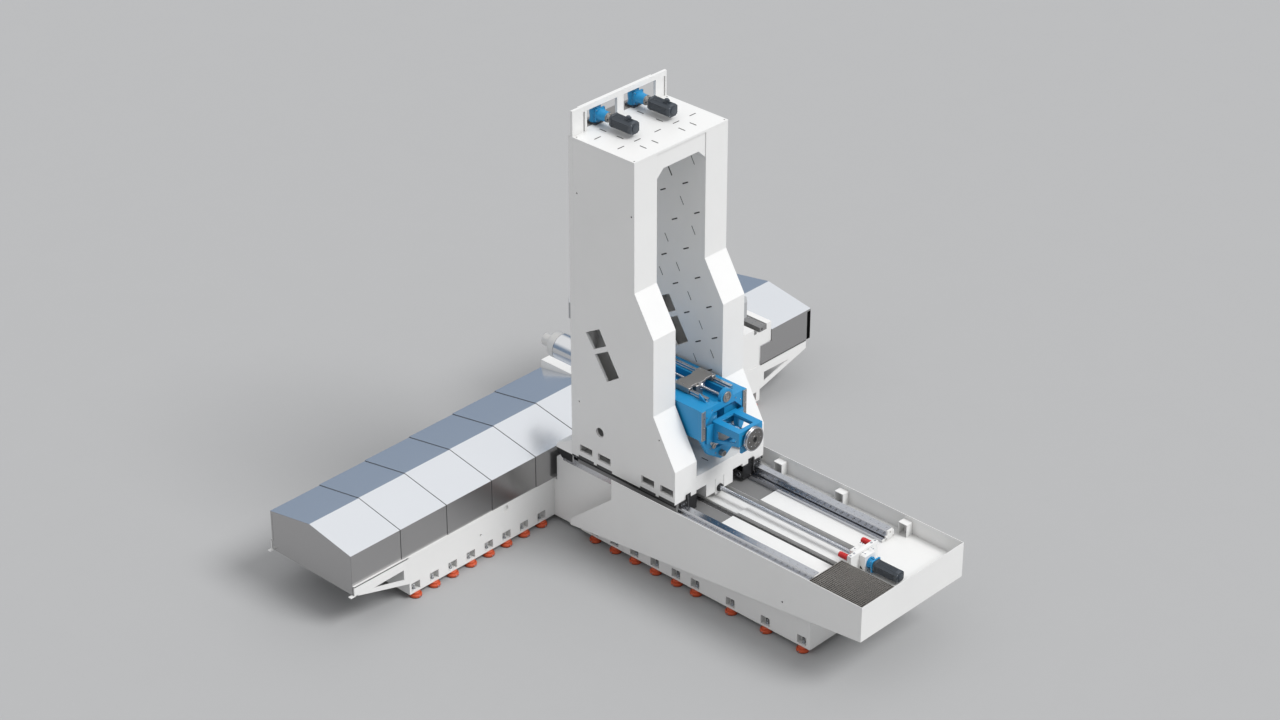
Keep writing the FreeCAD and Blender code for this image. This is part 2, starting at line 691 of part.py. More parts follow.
# Column uprights: hollow, with windows, ports and base pockets in the walls
profile = [(COL_Y1, COL_BASE), (COL_Y1, COL_TOP - COL_PLATE), (0, COL_TOP - COL_PLATE), (0, COL_Z1),
           (COL_Y2, COL_Z2), (COL_Y2, COL_Z3), (COL_Y3, COL_Z4), (COL_Y3, COL_BASE)]
upright = prism_x(profile, COL_IN, COL_X)
upright = upright.cut(prism_x(inset(profile, COL_WALL), COL_IN + COL_WALL, COL_X - COL_WALL))
wall_x0 = COL_X - COL_WALL - CUT
wall_x1 = COL_X + CUT
cuts = []
for window in (WINDOW_A, WINDOW_B):
    cuts.append(prism_x(window, COL_IN - CUT, COL_X + CUT))
cuts.append(cyl_x(PORT_HOLE_R, PORT_HOLE_Y, PORT_HOLE_Z, wall_x0, wall_x1))
for y, z in PIN_YZ:
    cuts.append(drill_x(PIN_R, y, z, wall_x0, wall_x1))
for y in SIDE_POCKET_Y:
    y1 = y + SIDE_POCKET_L
    cuts.append(box(wall_x0, wall_x1, y, y1, SIDE_POCKET_Z, SIDE_POCKET_Z + SIDE_POCKET_H))
    cuts.append(box(wall_x0, wall_x1, y - NOTCH_EXTRA, y1 + NOTCH_EXTRA, COL_BASE - CUT, COL_BASE + NOTCH_H))
upright = cut_all(upright, cuts)
save("column_right", upright)
save("column_left", mirror_x(upright))
plate_z = COL_TOP - COL_PLATE
top = box(-COL_X, COL_X, 0, COL_Y1, plate_z, COL_TOP)
for x in (-COL_X + COL_WALL, COL_X - COL_WALL):
    for y in (COL_WALL, COL_Y1 - COL_WALL):
        top = top.cut(prism_z(ring(DRILL_SIDES, PIN_R, x, y), plate_z - CUT, COL_TOP + CUT))
chamfer_x = COL_IN - BEAM_CHAMFER
beam = prism_y([(-COL_IN, plate_z), (-COL_IN, BEAM_Z_SIDE), (-chamfer_x, BEAM_Z), (chamfer_x, BEAM_Z),
                (COL_IN, BEAM_Z_SIDE), (COL_IN, plate_z)], BEAM_Y, BEAM_Y1)
save("column_top", top.fuse(beam))
cross = box(-COL_IN, COL_IN, COL_Y3, COL_Y1, CROSS_Z0, CROSS_TOP)
legs = both(box(LEG_X0, LEG_X1, COL_Y3, COL_Y1, LEG_Z, CROSS_Z0))
nut_y = COL_Y3 + NUT_L
nut = box(-NUT_HALF, NUT_HALF, COL_Y3 + CUT, nut_y, SCREW_Z - NUT_HALF, CROSS_Z0)
nut = nut.cut(cyl_y(SCREW_R + RUN_GAP, 0, SCREW_Z, COL_Y3 - CUT, nut_y + CUT))
save("column_base", cross.multiFuse(legs + [nut]).removeSplitter())

# Guide shoes between the column feet and the rails, each with an outer keeper
shoes = []
shoe_w = wide(GUIDE_C, SHOE_W)
for y in SIDE_POCKET_Y:
    y0 = y - NOTCH_EXTRA
    y1 = y + SIDE_POCKET_L + NOTCH_EXTRA
    shoe = box(shoe_w[0], shoe_w[1], y0, y1, GUIDE_TOP + RUN_GAP, COL_BASE)
    lip = box(shoe_w[1] - SHOE_LIP_W, shoe_w[1], y0, y1, GUIDE_TOP - SHOE_DROP, GUIDE_TOP + RUN_GAP)
    shoes += both(shoe.fuse(lip).removeSplitter())
save("guide_shoes", shoes)

# Working-side frame, vertical rails, screws and their shelves
frame = box(-COL_X, COL_X, COL_Y1, COL_Y1 + FRAME_PLATE, COL_BASE, FRAME_TOP)
frame = frame.fuse(box(-COL_X, COL_X, COL_Y1 + FRAME_PLATE, FRAME_Y1, COL_BASE, COL_TOP))
strip_z0 = FRAME_TOP - FRAME_BEAM
strip_z1 = FRAME_TOP - FRAME_BACK_DROP
back = box(FRAME_BACK_X0, FRAME_BACK_X1, COL_Y1 + FRAME_PLATE, FRAME_Y1, strip_z0, strip_z1)
frame = frame.fuse(back).removeSplitter()
cuts = [box(-FRAME_IN, FRAME_IN, COL_Y1 - CUT, FRAME_Y1 + CUT, CROSS_TOP, COL_TOP - FRAME_HEAD)]
for x0, x1 in FRAME_WINDOWS:
    cuts.append(box(x0, x1, COL_Y1 - CUT, FRAME_Y1 + CUT, COL_TOP, FRAME_TOP - FRAME_BEAM))
save("guide_frame", cut_all(frame, cuts))
rail = box(YRAIL_X0, YRAIL_X0 + YRAIL_W, FRAME_Y1, FRAME_Y1 + YRAIL_T, CROSS_TOP, COL_TOP - YRAIL_DROP)
save("y_rails", both(rail))
shelf_y1 = FRAME_Y1 + SHELF_L
shelves = [box(-FRAME_IN, FRAME_IN, FRAME_Y1, shelf_y1, CROSS_TOP - SHELF_T, CROSS_TOP),
           box(-FRAME_IN, FRAME_IN, FRAME_Y1, shelf_y1, COL_TOP - SHELF_T, COL_TOP)]
save("screw_shelves", shelves)
save("y_screws", both(cyl_z(YSCREW_R, YSCREW_X, YSCREW_Y, CROSS_TOP, COL_TOP - SHELF_T)))

# Apron over the gap between the column and the table covers
k = APRON_SHEET
front_y = FRAME_Y1 + APRON_L
wedge = [(FRAME_Y1, APRON_Z0), (front_y, APRON_Z0), (front_y, APRON_Z1), (FRAME_Y1, APRON_Z2)]
hollow = [(FRAME_Y1 - CUT, APRON_Z0 - CUT), (front_y - k, APRON_Z0 - CUT), (front_y - k, APRON_Z1 - k),
          (FRAME_Y1 - CUT, APRON_Z2 - k)]
apron = prism_x(wedge, -COL_X, COL_X)
low, high, out = APRON_Z0, APRON_Z2 + CUT, COL_X + CUT
corner = [(COL_X - APRON_CHAMFER, high), (COL_X - APRON_SIDE, low), (out, low), (out, high)]
inner = [(COL_X - APRON_CHAMFER - k, high), (COL_X - APRON_SIDE - k, low - CUT),
         (-COL_X, low - CUT), (-COL_X, high)]
apron = cut_all(apron, both(prism_y(corner, FRAME_Y1, front_y + CUT)))
space = prism_x(hollow, -COL_X, COL_X).common(prism_y(inner, FRAME_Y1, front_y))
apron = apron.cut(space.common(mirror_x(space)))
skirt = [(FRAME_Y1, SKIRT_Z), (front_y - SKIRT_BACK, SKIRT_Z), (front_y, APRON_Z0), (FRAME_Y1, APRON_Z0)]
skirt_x1 = COL_X - APRON_SIDE
skirts = both(prism_x(skirt, skirt_x1 - SKIRT_W, skirt_x1))
save("column_apron", apron.multiFuse(skirts).removeSplitter())

# Vertical drives: right-angle gearbox, bell, adapter and motor over the top plate
axis_z = COL_TOP + DRIVE_AXIS
flange_y = YSCREW_Y - GEAR_HALF
bell_y = flange_y - FLANGE_T
adapter_y = bell_y - BELL_L
motor_y = adapter_y - ADAPTER_L
motor_y0 = motor_y - MOTOR_L
bases = []
gears = []
adapters = []
motors = []
for s in (-1, 1):
    x = s * YSCREW_X
    a, b = x - GEAR_HALF, x + GEAR_HALF
    gy = YSCREW_Y + GEAR_HALF
    base_z = COL_TOP + GEAR_BASE_H
    bases.append(box(a, b, flange_y, gy, COL_TOP, base_z))
    body = prism_z(ring(TURNED_SIDES, GEAR_HALF, x, YSCREW_Y), base_z, COL_TOP + GEAR_TOP)
    plate = box(x - BELL_R, x + BELL_R, bell_y, flange_y, axis_z - BELL_R, axis_z + BELL_R)
    h = BELL_R_END
    link = box(x - h, x + h, flange_y, YSCREW_Y, axis_z - h, axis_z + h)
    bell = taper_y(BELL_R_END, BELL_R, x, axis_z, adapter_y, bell_y)
    gears.append(body.multiFuse([plate, link, bell]))
    h = ADAPTER_HALF
    adapters.append(box(x - h, x + h, motor_y, adapter_y, axis_z - h, axis_z + h))
    motor = prism_y(octagon(MOTOR_HALF, MOTOR_CHAMFER, x, axis_z), motor_y0, motor_y)
    p0, p1 = wide(x, PLUG_W)
    plug_y = motor_y0 + PLUG_BACK
    plug = box(p0, p1, plug_y, plug_y + PLUG_L, axis_z + MOTOR_HALF - PIN_R, axis_z + MOTOR_HALF + PLUG_H)
    motors.append(motor.fuse(plug))
save("y_gearboxes", gears)
save("y_drive_mounts", bases + adapters)
save("y_motors", motors)

# Headstock: tail body between the uprights, front body with wings on the vertical rails
body = box(-HEAD_X, HEAD_X, HEAD_Y0, COL_Y1, HEAD_Z0, HEAD_TOP)
front_x = COL_IN - HEAD_FRONT_CLEAR
front = box(-front_x, front_x, COL_Y1 - END_T, HEAD_FRONT_Y1, HEAD_FRONT_Z0, HEAD_TOP)
wing_y0 = FRAME_Y1 + YRAIL_T + RUN_GAP
wing_x1 = YRAIL_X0 + YRAIL_W + WING_OUT
wings = both(box(front_x, wing_x1, wing_y0, WING_Y1, HEAD_FRONT_Z0, HEAD_TOP))
head = body.multiFuse([front] + wings).removeSplitter()
screw_hole = YSCREW_R + SCREW_CLEAR
cuts = both(cyl_z(screw_hole, YSCREW_X, YSCREW_Y, HEAD_FRONT_Z0 - CUT, HEAD_TOP + CUT))
cuts.append(cyl_y(SPINDLE_R + RUN_GAP, 0, AXIS_Z, HEAD_Y0 - CUT, HEAD_FRONT_Y1 + CUT))
a, b = FEED_X - CHANNEL_HALF, FEED_X + CHANNEL_HALF
cuts.append(box(a, b, HEAD_Y0 - CUT, CHANNEL_Y1, HEAD_TOP - CHANNEL_D, HEAD_TOP + CUT))
slot_y1 = CARRIAGE_Y0 + ARM_L + W_TRAVEL + SLOT_HALF
cuts.append(box(-SLOT_HALF, SLOT_HALF, HEAD_Y0 - CUT, slot_y1, AXIS_Z, HEAD_TOP + CUT))
gusset = [(GUSSET_Y, HEAD_TOP), (GUSSET_Y + GUSSET_L, HEAD_TOP), (GUSSET_Y + GUSSET_L, HEAD_TOP + GUSSET_H)]
gusset_x = FEED_X - WRAIL_X - WRAIL_W / 2
web = prism_x(gusset, gusset_x - GUSSET_T, gusset_x)
save("headstock", cut_all(head, cuts).fuse(web))

# End plate: an octagon ring with a boss for the feed screw
outline = [(-x, z) for x, z in END_OUT] + [(x, z) for x, z in reversed(END_OUT)]
hole = [(-x, z) for x, z in END_HOLE] + [(x, z) for x, z in reversed(END_HOLE)]
end_y0 = HEAD_Y0 - END_T
plate = prism_y(outline, end_y0, HEAD_Y0).fuse(cyl_y(BOSS_R, FEED_X, BOSS_Z, end_y0, HEAD_Y0))
plate = plate.cut(prism_y(hole, end_y0 - CUT, HEAD_Y0 + CUT))
plate = plate.cut(cyl_y(WSCREW_R, FEED_X, WSCREW_Z, end_y0 + END_T / 2, HEAD_Y0 + CUT))
end_x, end_z = END_OUT[0]
pad_z = END_OUT[1][1]
pads = both(box(end_x - PAD_W, end_x, end_y0 - PAD_T, end_y0, pad_z, end_z))
save("end_ring", plate.multiFuse(pads).removeSplitter())
caps = [cyl_y(BOSS_DISC_R, FEED_X, BOSS_Z, end_y0 - BOSS_DISC_T, end_y0),
        cyl_y(STUB_R, STUB_X, STUB_Z, end_y0 - STUB_L, end_y0)]

# Tail cage and disc
cage_y0 = end_y0 - CAGE_L + END_T
w = CAGE_WALL
cage_side = [(end_y0, CAGE_HEAD_Z), (end_y0, CAGE_TOP), (cage_y0, CAGE_TOP), (cage_y0, CAGE_TAIL_Z)]
end_face = [(cage_y0, CAGE_HEAD_Z), (cage_y0 + w, CAGE_HEAD_Z), (cage_y0 + w, CAGE_TOP), (cage_y0, CAGE_TOP)]
cage = prism_x(cage_side, -CAGE_X, CAGE_X)
cage = cage.cut(box(-CAGE_X + w, CAGE_X - w, cage_y0 + w, end_y0 + CUT, 0, CAGE_TOP - w))
cage = cage.fuse(prism_x(end_face, -DISC_R, DISC_R))
side_hole = [(end_y0 - y, z) for y, z in CAGE_SIDE]
win_y0, win_y1 = cage_y0 + CAGE_WIN_END, end_y0 - CAGE_WIN_END
cage = cut_all(cage, [prism_x(side_hole, -CAGE_X - CUT, CAGE_X + CUT),
                      box(-CAGE_WIN_X, CAGE_WIN_X, win_y0, win_y1, CAGE_TOP - w - CUT, CAGE_TOP + CUT)])
lug_x = (END_HOLE[1][0] + end_x - PAD_W) / 2
lugs = both(box(CAGE_X - w, lug_x, end_y0 - w, end_y0, CAGE_HEAD_Z + w, CAGE_TOP - w))
save("tail_cage", cage.multiFuse(lugs).removeSplitter())
neck_y = cage_y0 - DISC_NECK_T
disc_y = neck_y - DISC_T
disc = cyl_y(DISC_R, 0, AXIS_Z, disc_y, neck_y).fuse(cyl_y(DISC_NECK_R, 0, AXIS_Z, neck_y, cage_y0))
disc = disc.cut(cyl_y(HUB_R, 0, AXIS_Z, disc_y - CUT, disc_y + HUB_D))
save("tail_disc", [disc, cyl_y(TAIL_R, 0, AXIS_Z, cage_y0 + w, HEAD_Y0)])

# Feed of the boring spindle: rails, screw, carriage and spindle
wrails = []
for x in (FEED_X - WRAIL_X, FEED_X + WRAIL_X):
    a, b = wide(x, WRAIL_W)
    wrails.append(box(a, b, WRAIL_Y0, WRAIL_Y1, HEAD_TOP, HEAD_TOP + WRAIL_H))
save("w_rails", wrails)
save("w_screw", caps + [cyl_y(WSCREW_R, FEED_X, WSCREW_Z, end_y0 + END_T / 2, CHANNEL_Y1)])
car_z = HEAD_TOP + WRAIL_H + RUN_GAP
a, b = FEED_X - CARRIAGE_X, FEED_X + CARRIAGE_X
carriage = box(a, b, CARRIAGE_Y0, CARRIAGE_Y1, car_z, car_z + CARRIAGE_H)
arm_y1 = CARRIAGE_Y0 + ARM_L
arm = box(-ARM_HALF, ARM_HALF, CARRIAGE_Y0, arm_y1, AXIS_Z, car_z)
feed_nut = box(-ARM_HALF, FEED_X + ARM_HALF, CARRIAGE_Y0, arm_y1, WSCREW_Z - ARM_HALF, car_z)
carriage = carriage.multiFuse([arm, feed_nut]).removeSplitter()
screw_bore = cyl_y(WSCREW_R + RUN_GAP, FEED_X, WSCREW_Z, CARRIAGE_Y0 - CUT, CARRIAGE_Y1 + CUT)
carriage = carriage.cut(screw_bore)
save("feed_carriage", carriage.cut(cyl_y(JOURNAL_R + RUN_GAP, 0, AXIS_Z, CARRIAGE_Y0 - CUT, arm_y1 + CUT)))
spindle = cyl_y(SPINDLE_R, 0, AXIS_Z, arm_y1 + RUN_GAP, SPINDLE_TIP)
spindle = spindle.fuse(cyl_y(JOURNAL_R, 0, AXIS_Z, CARRIAGE_Y0, arm_y1 + RUN_GAP))
save("boring_spindle", spindle.cut(cyl_y(TAPER_R, 0, AXIS_Z, SPINDLE_TIP - TAPER_D, SPINDLE_TIP + CUT)))

# Spindle sleeve with its flange
sleeve = cyl_y(SLEEVE_R, 0, AXIS_Z, HEAD_FRONT_Y1, SLEEVE_Y1)
flange = cyl_y(SLEEVE_FLANGE_R, 0, AXIS_Z, HEAD_FRONT_Y1, HEAD_FRONT_Y1 + SLEEVE_FLANGE_T)
sleeve = sleeve.fuse(flange)
bore = cyl_y(SPINDLE_R + RUN_GAP, 0, AXIS_Z, HEAD_FRONT_Y1 - CUT, SLEEVE_Y1 + CUT)
save("spindle_sleeve", sleeve.cut(bore))
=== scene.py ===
import math

import bmesh
import bpy
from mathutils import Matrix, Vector


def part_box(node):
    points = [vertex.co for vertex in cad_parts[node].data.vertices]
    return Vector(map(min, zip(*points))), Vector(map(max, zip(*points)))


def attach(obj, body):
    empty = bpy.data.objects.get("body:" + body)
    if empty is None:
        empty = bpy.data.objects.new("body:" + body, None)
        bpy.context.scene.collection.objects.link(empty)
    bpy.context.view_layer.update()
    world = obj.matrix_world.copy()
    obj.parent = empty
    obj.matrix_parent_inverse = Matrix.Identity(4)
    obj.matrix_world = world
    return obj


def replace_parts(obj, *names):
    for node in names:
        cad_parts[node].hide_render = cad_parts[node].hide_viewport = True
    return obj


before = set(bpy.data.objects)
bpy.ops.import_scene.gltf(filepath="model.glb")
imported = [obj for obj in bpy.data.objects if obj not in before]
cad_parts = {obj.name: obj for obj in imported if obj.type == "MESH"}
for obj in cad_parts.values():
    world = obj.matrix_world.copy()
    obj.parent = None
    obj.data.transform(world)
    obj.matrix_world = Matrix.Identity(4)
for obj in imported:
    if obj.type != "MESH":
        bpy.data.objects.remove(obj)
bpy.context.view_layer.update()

MM = 0.001

# Photograph's camera: position in metres, elevation and azimuth in degrees
CAM_POS = (-27.824, -25.207, 24.933)
CAM_EL = 30.016
CAM_AZ = 46.5
CAM_LENS = 84.73
CAM_SENSOR = 36.0


def graph(tree):
    """Three helpers for a node tree: fill a node's inputs, add a node, mix two colours."""

    def fill(node, inputs):
        for key, value in inputs.items():
            socket = node.inputs[key]
            if isinstance(value, bpy.types.NodeSocket):
                tree.links.new(value, socket)
            else:
                socket.default_value = value
        return node

    def add(kind, **inputs):
        node = tree.nodes.new("ShaderNode" + kind)
        return fill(node, {key.replace("_", " "): value for key, value in inputs.items()})

    def mix(factor, a, b):
        node = tree.nodes.new("ShaderNodeMix")
        node.data_type = "RGBA"
        return fill(node, {"Factor": factor, "A": a, "B": b}).outputs["Result"]

    return fill, add, mix


def look(name, color, rough, metallic=0.0, vary=0.05, hollow_shade=0.0, bump=0.15, grain=60.0, edge=0.0, brush=None,
         spread=0.07, upright_shade=None):
    """A procedural material: colour and roughness drift, grain bump, painted shade in the hollows, soft edges.

    brush stretches the grain, and the last argument is a darker colour that vertical faces take: painted shade for the
    darker floor they reflect.
    """
    m = bpy.data.materials.new(name)
    m.use_nodes = True
    fill, add, mix = graph(m.node_tree)
    place = add("TexCoord").outputs["Object"]
    stretched = add("Mapping", Vector=place, Scale=brush or (1, 1, 1)).outputs["Vector"]
    drift = add("TexNoise", Vector=place, Scale=1.3, Detail=6.0).outputs["Fac"]
    fine = add("TexNoise", Vector=stretched, Scale=grain, Detail=3.0).outputs["Fac"]
    dark = [c * (1 - vary) for c in color]
    light = [min(1.0, c * (1 + vary)) for c in color]
    tone = mix(drift, (*dark, 1), (*light, 1))
    # Painted shade: where ambient occlusion finds a surface hidden, its colour darkens towards a dim brown.
    if hollow_shade:
        shade = add("AmbientOcclusion", Distance=0.12)
        shade.samples = 4
        shade_mask = add("MapRange", Value=shade.outputs["AO"], From_Min=0.35, From_Max=0.9, To_Min=hollow_shade, To_Max=0.0)
        tone = mix(shade_mask.outputs["Result"], tone, (color[0] * 0.35, color[1] * 0.34, color[2] * 0.32, 1))
    # Painted shade: vertical faces take the darker colour given for them, for the darker floor they reflect.
    if upright_shade:
        axes = add("SeparateXYZ", Vector=add("NewGeometry").outputs["True Normal"])
        level = add("Math", Value=axes.outputs["Z"])
        level.operation = "ABSOLUTE"
        tone = mix(level.outputs["Value"], (*upright_shade, 1), tone)
    polish = add("MapRange", Value=fine, To_Min=max(0.03, rough - spread), To_Max=min(1.0, rough + spread))
    relief = add("Bump", Strength=bump, Distance=0.0008, Height=fine)
    if edge:
        bevel = add("Bevel", Radius=edge)
        bevel.samples = 4
        fill(relief, {"Normal": bevel.outputs["Normal"]})
    fill(m.node_tree.nodes["Principled BSDF"], {
        "Base Color": tone, "Metallic": metallic, "Roughness": polish.outputs["Result"],
        "Normal": relief.outputs["Normal"]})
    return m


# Most looks darken their hollows by a given amount: painted shade.
WHITE = look("white_enamel", (0.80, 0.80, 0.79), 0.42, vary=0.03, hollow_shade=0.25, grain=220, edge=0.006)
TRAY = look("tray_enamel", (0.78, 0.78, 0.77), 0.45, vary=0.04, hollow_shade=0.3, grain=200, edge=0.003)
BLUE = look("blue_enamel", (0.012, 0.26, 0.54), 0.38, vary=0.06, hollow_shade=0.4, grain=240, edge=0.004)
ORANGE = look("orange_enamel", (0.58, 0.085, 0.025), 0.5, vary=0.08, hollow_shade=0.4, grain=160, edge=0.003)
DARK = look("motor_casing", (0.045, 0.055, 0.068), 0.45, vary=0.08, hollow_shade=0.2, grain=200, edge=0.003)
STEEL = look("ground_steel", (0.56, 0.57, 0.60), 0.24, 1.0, grain=40, bump=0.05, brush=(30, 1, 30), edge=0.002)
PLATE = look("machined_plate", (0.38, 0.36, 0.34), 0.42, 0.85, vary=0.08, hollow_shade=0.3, grain=70, bump=0.08, edge=0.002)
# The cover sheet's vertical walls are painted darker than its roofs: painted shade for the darker floor they reflect.
SHEET = look("brushed_sheet", (0.80, 0.825, 0.865), 0.24, 1.0, vary=0.015, grain=14, bump=0.004, brush=(1, 30, 30),
             spread=0.025, upright_shade=(0.47, 0.465, 0.465))
CHROME = look("turned_steel", (0.72, 0.73, 0.75), 0.18, 1.0, vary=0.03, grain=30, bump=0.04, brush=(1, 40, 1))
CAST = look("cast_grey", (0.42, 0.43, 0.44), 0.55, 0.1, vary=0.08, hollow_shade=0.4, grain=90, bump=0.3, edge=0.004)
RUBBER = look("black_rubber", (0.012, 0.012, 0.013), 0.6, vary=0.1, grain=180)
BLACK_STRIP = look("strip_black", (0.004, 0.004, 0.004), 0.75, 1.0, vary=0.0, bump=0.0)
RED = look("red_rubber", (0.55, 0.02, 0.02), 0.5, vary=0.1, hollow_shade=0.3, grain=150, edge=0.004)
SLOT = look("weld_slot", (0.045, 0.044, 0.042), 0.6, vary=0.2, grain=150)
# A very dark grey for the column's foot blocks and the cable chain: painted shade, for the deep shade under the column
# and in the bed's channel.
SHADOW = look("painted_shadow_grey", (0.055, 0.055, 0.057), 0.5, vary=0.1, hollow_shade=0.3, grain=180, edge=0.003)
MIDGREY = look("mid_grey_enamel", (0.20, 0.20, 0.20), 0.5, vary=0.06, hollow_shade=0.3, grain=180, edge=0.002)
LIGHT = look("light_grey_enamel", (0.74, 0.74, 0.73), 0.45, vary=0.04, hollow_shade=0.3, grain=180, edge=0.002)
DARKSTEEL = look("dark_steel", (0.16, 0.155, 0.15), 0.36, 0.75, vary=0.08, hollow_shade=0.2, bump=0.05, brush=(1, 40, 1))
QUILL = look("ground_quill", (0.72, 0.715, 0.70), 0.4, 0.2, vary=0.03, bump=0.04, brush=(1, 40, 1))

NODE_LOOK = {
    WHITE: ["x_bed", "x_arms", "z_bed", "z_drive_block", "column_right", "column_left", "column_top", "column_base",
            "guide_frame", "saddle", "column_apron"],
    TRAY: ["tray"],
    BLUE: ["z_drive_gearbox", "y_gearboxes", "end_ring", "tail_cage", "headstock"],
    ORANGE: ["levelling_mounts"],
    DARK: ["z_drive_motor", "y_motors"],
    MIDGREY: ["saddle_guide_bars", "guide_shoes"],
    STEEL: ["x_rails", "z_guides", "z_screw", "y_rails", "y_screws", "w_rails", "w_screw", "boring_spindle"],
    PLATE: ["feed_carriage", "y_drive_mounts", "tail_disc", "grating", "screw_shelves"],
    SHEET: ["cover_%d" % k for k in range(1, 7)],
    CHROME: ["spindle_sleeve"],
    CAST: ["turntable_base", "pallet"],
    RED: ["z_buffers"],
}
for material, names in NODE_LOOK.items():
    for name in names:
        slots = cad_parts[name].data.materials
        slots.clear()
        slots.append(material)

# Working millimetres: x = 0 is the spindle plane, y = 0 the column's rear face, z = 0 the floor
TOP_LO, TOP_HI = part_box("column_top")
ORIGIN = Vector(((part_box("column_right")[1][0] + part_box("column_left")[0][0]) / 2, TOP_LO[1], 0.0))


def span(node):
    """Lowest and highest corner of a CAD node in working millimetres."""
    lo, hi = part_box(node)
    return (Vector(lo) - ORIGIN) / MM, (Vector(hi) - ORIGIN) / MM


def turn(axis, t, p, q):
    """A point at t along an axis, with p and q as its other two coordinates in x, y, z order."""
    if axis == "x":
        return (t, p, q)
    if axis == "y":
        return (p, t, q)
    return (p, q, t)


def places(a, b, pitch, inset=0.0):
    """Even places from a to b, near the pitch."""
    n = max(1, round((b - a - 2 * inset) / pitch))
    return [a + inset + (b - a - 2 * inset) * i / n for i in range(n + 1)]


def inside(p, q, outline):
    """Whether a point lies inside an outline."""
    hit = False
    for i in range(len(outline)):
        (ax, ay), (bx, by) = outline[i - 1], outline[i]
        if (ay > q) != (by > q) and p < (bx - ax) * (q - ay) / (by - ay) + ax:
            hit = not hit
    return hit


# Outlines and profiles
def clip_corners(x0, x1, y0, y1, c):
    """A rectangle with its corners cut by c."""
    if c <= 0:
        return [(x0, y0), (x1, y0), (x1, y1), (x0, y1)]
    return [(x0 + c, y0), (x1 - c, y0), (x1, y0 + c), (x1, y1 - c),
            (x1 - c, y1), (x0 + c, y1), (x0, y1 - c), (x0, y0 + c)]


def shrink(points, d):
    """An outline moved inwards by d."""
    n = len(points)
    area = sum(points[i - 1][0] * points[i][1] - points[i][0] * points[i - 1][1] for i in range(n))
    d = d if area > 0 else -d
    out = []
    for i in range(n):
        (ax, ay), (bx, by), (cx, cy) = points[i - 1], points[i], points[(i + 1) % n]
        u, w = Vector((bx - ax, by - ay)).normalized(), Vector((cx - bx, cy - by)).normalized()
        m = Vector((-u.y - w.y, u.x + w.x))
        m = m / max(1e-6, 1 + u.dot(w))
        out.append((bx + m.x * d, by + m.y * d))
    return out


def rounded(xc, zc, half, r, steps=4):
    """A square with round corners."""
    out = []
    k = half - r
    for cx, cz, start in ((xc + k, zc - k, -90), (xc + k, zc + k, 0), (xc - k, zc + k, 90), (xc - k, zc - k, 180)):
        for i in range(steps + 1):
            a = math.radians(start + 90 * i / steps)
            out.append((cx + r * math.cos(a), cz + r * math.sin(a)))
    return out


def octagon(half, chamfer, xc, zc):
    """A square with cut corners."""
    k = half - chamfer
    points = [(half, -k), (half, k), (k, half), (-k, half), (-half, k), (-half, -k), (-k, -half), (k, -half)]
    return [(xc + a, zc + b) for a, b in points]


def round_over(t, r, soft, n):
    """The last quarter circle of a turned profile, from radius r + soft down to r."""
    out = []
    for k in range(n + 1):
        a = math.pi / 2 * k / n
        out.append((t - soft + soft * math.sin(a), r + soft * math.cos(a)))
    return out


CORNERS = ((-1, -1), (-1, 1), (1, -1), (1, 1))


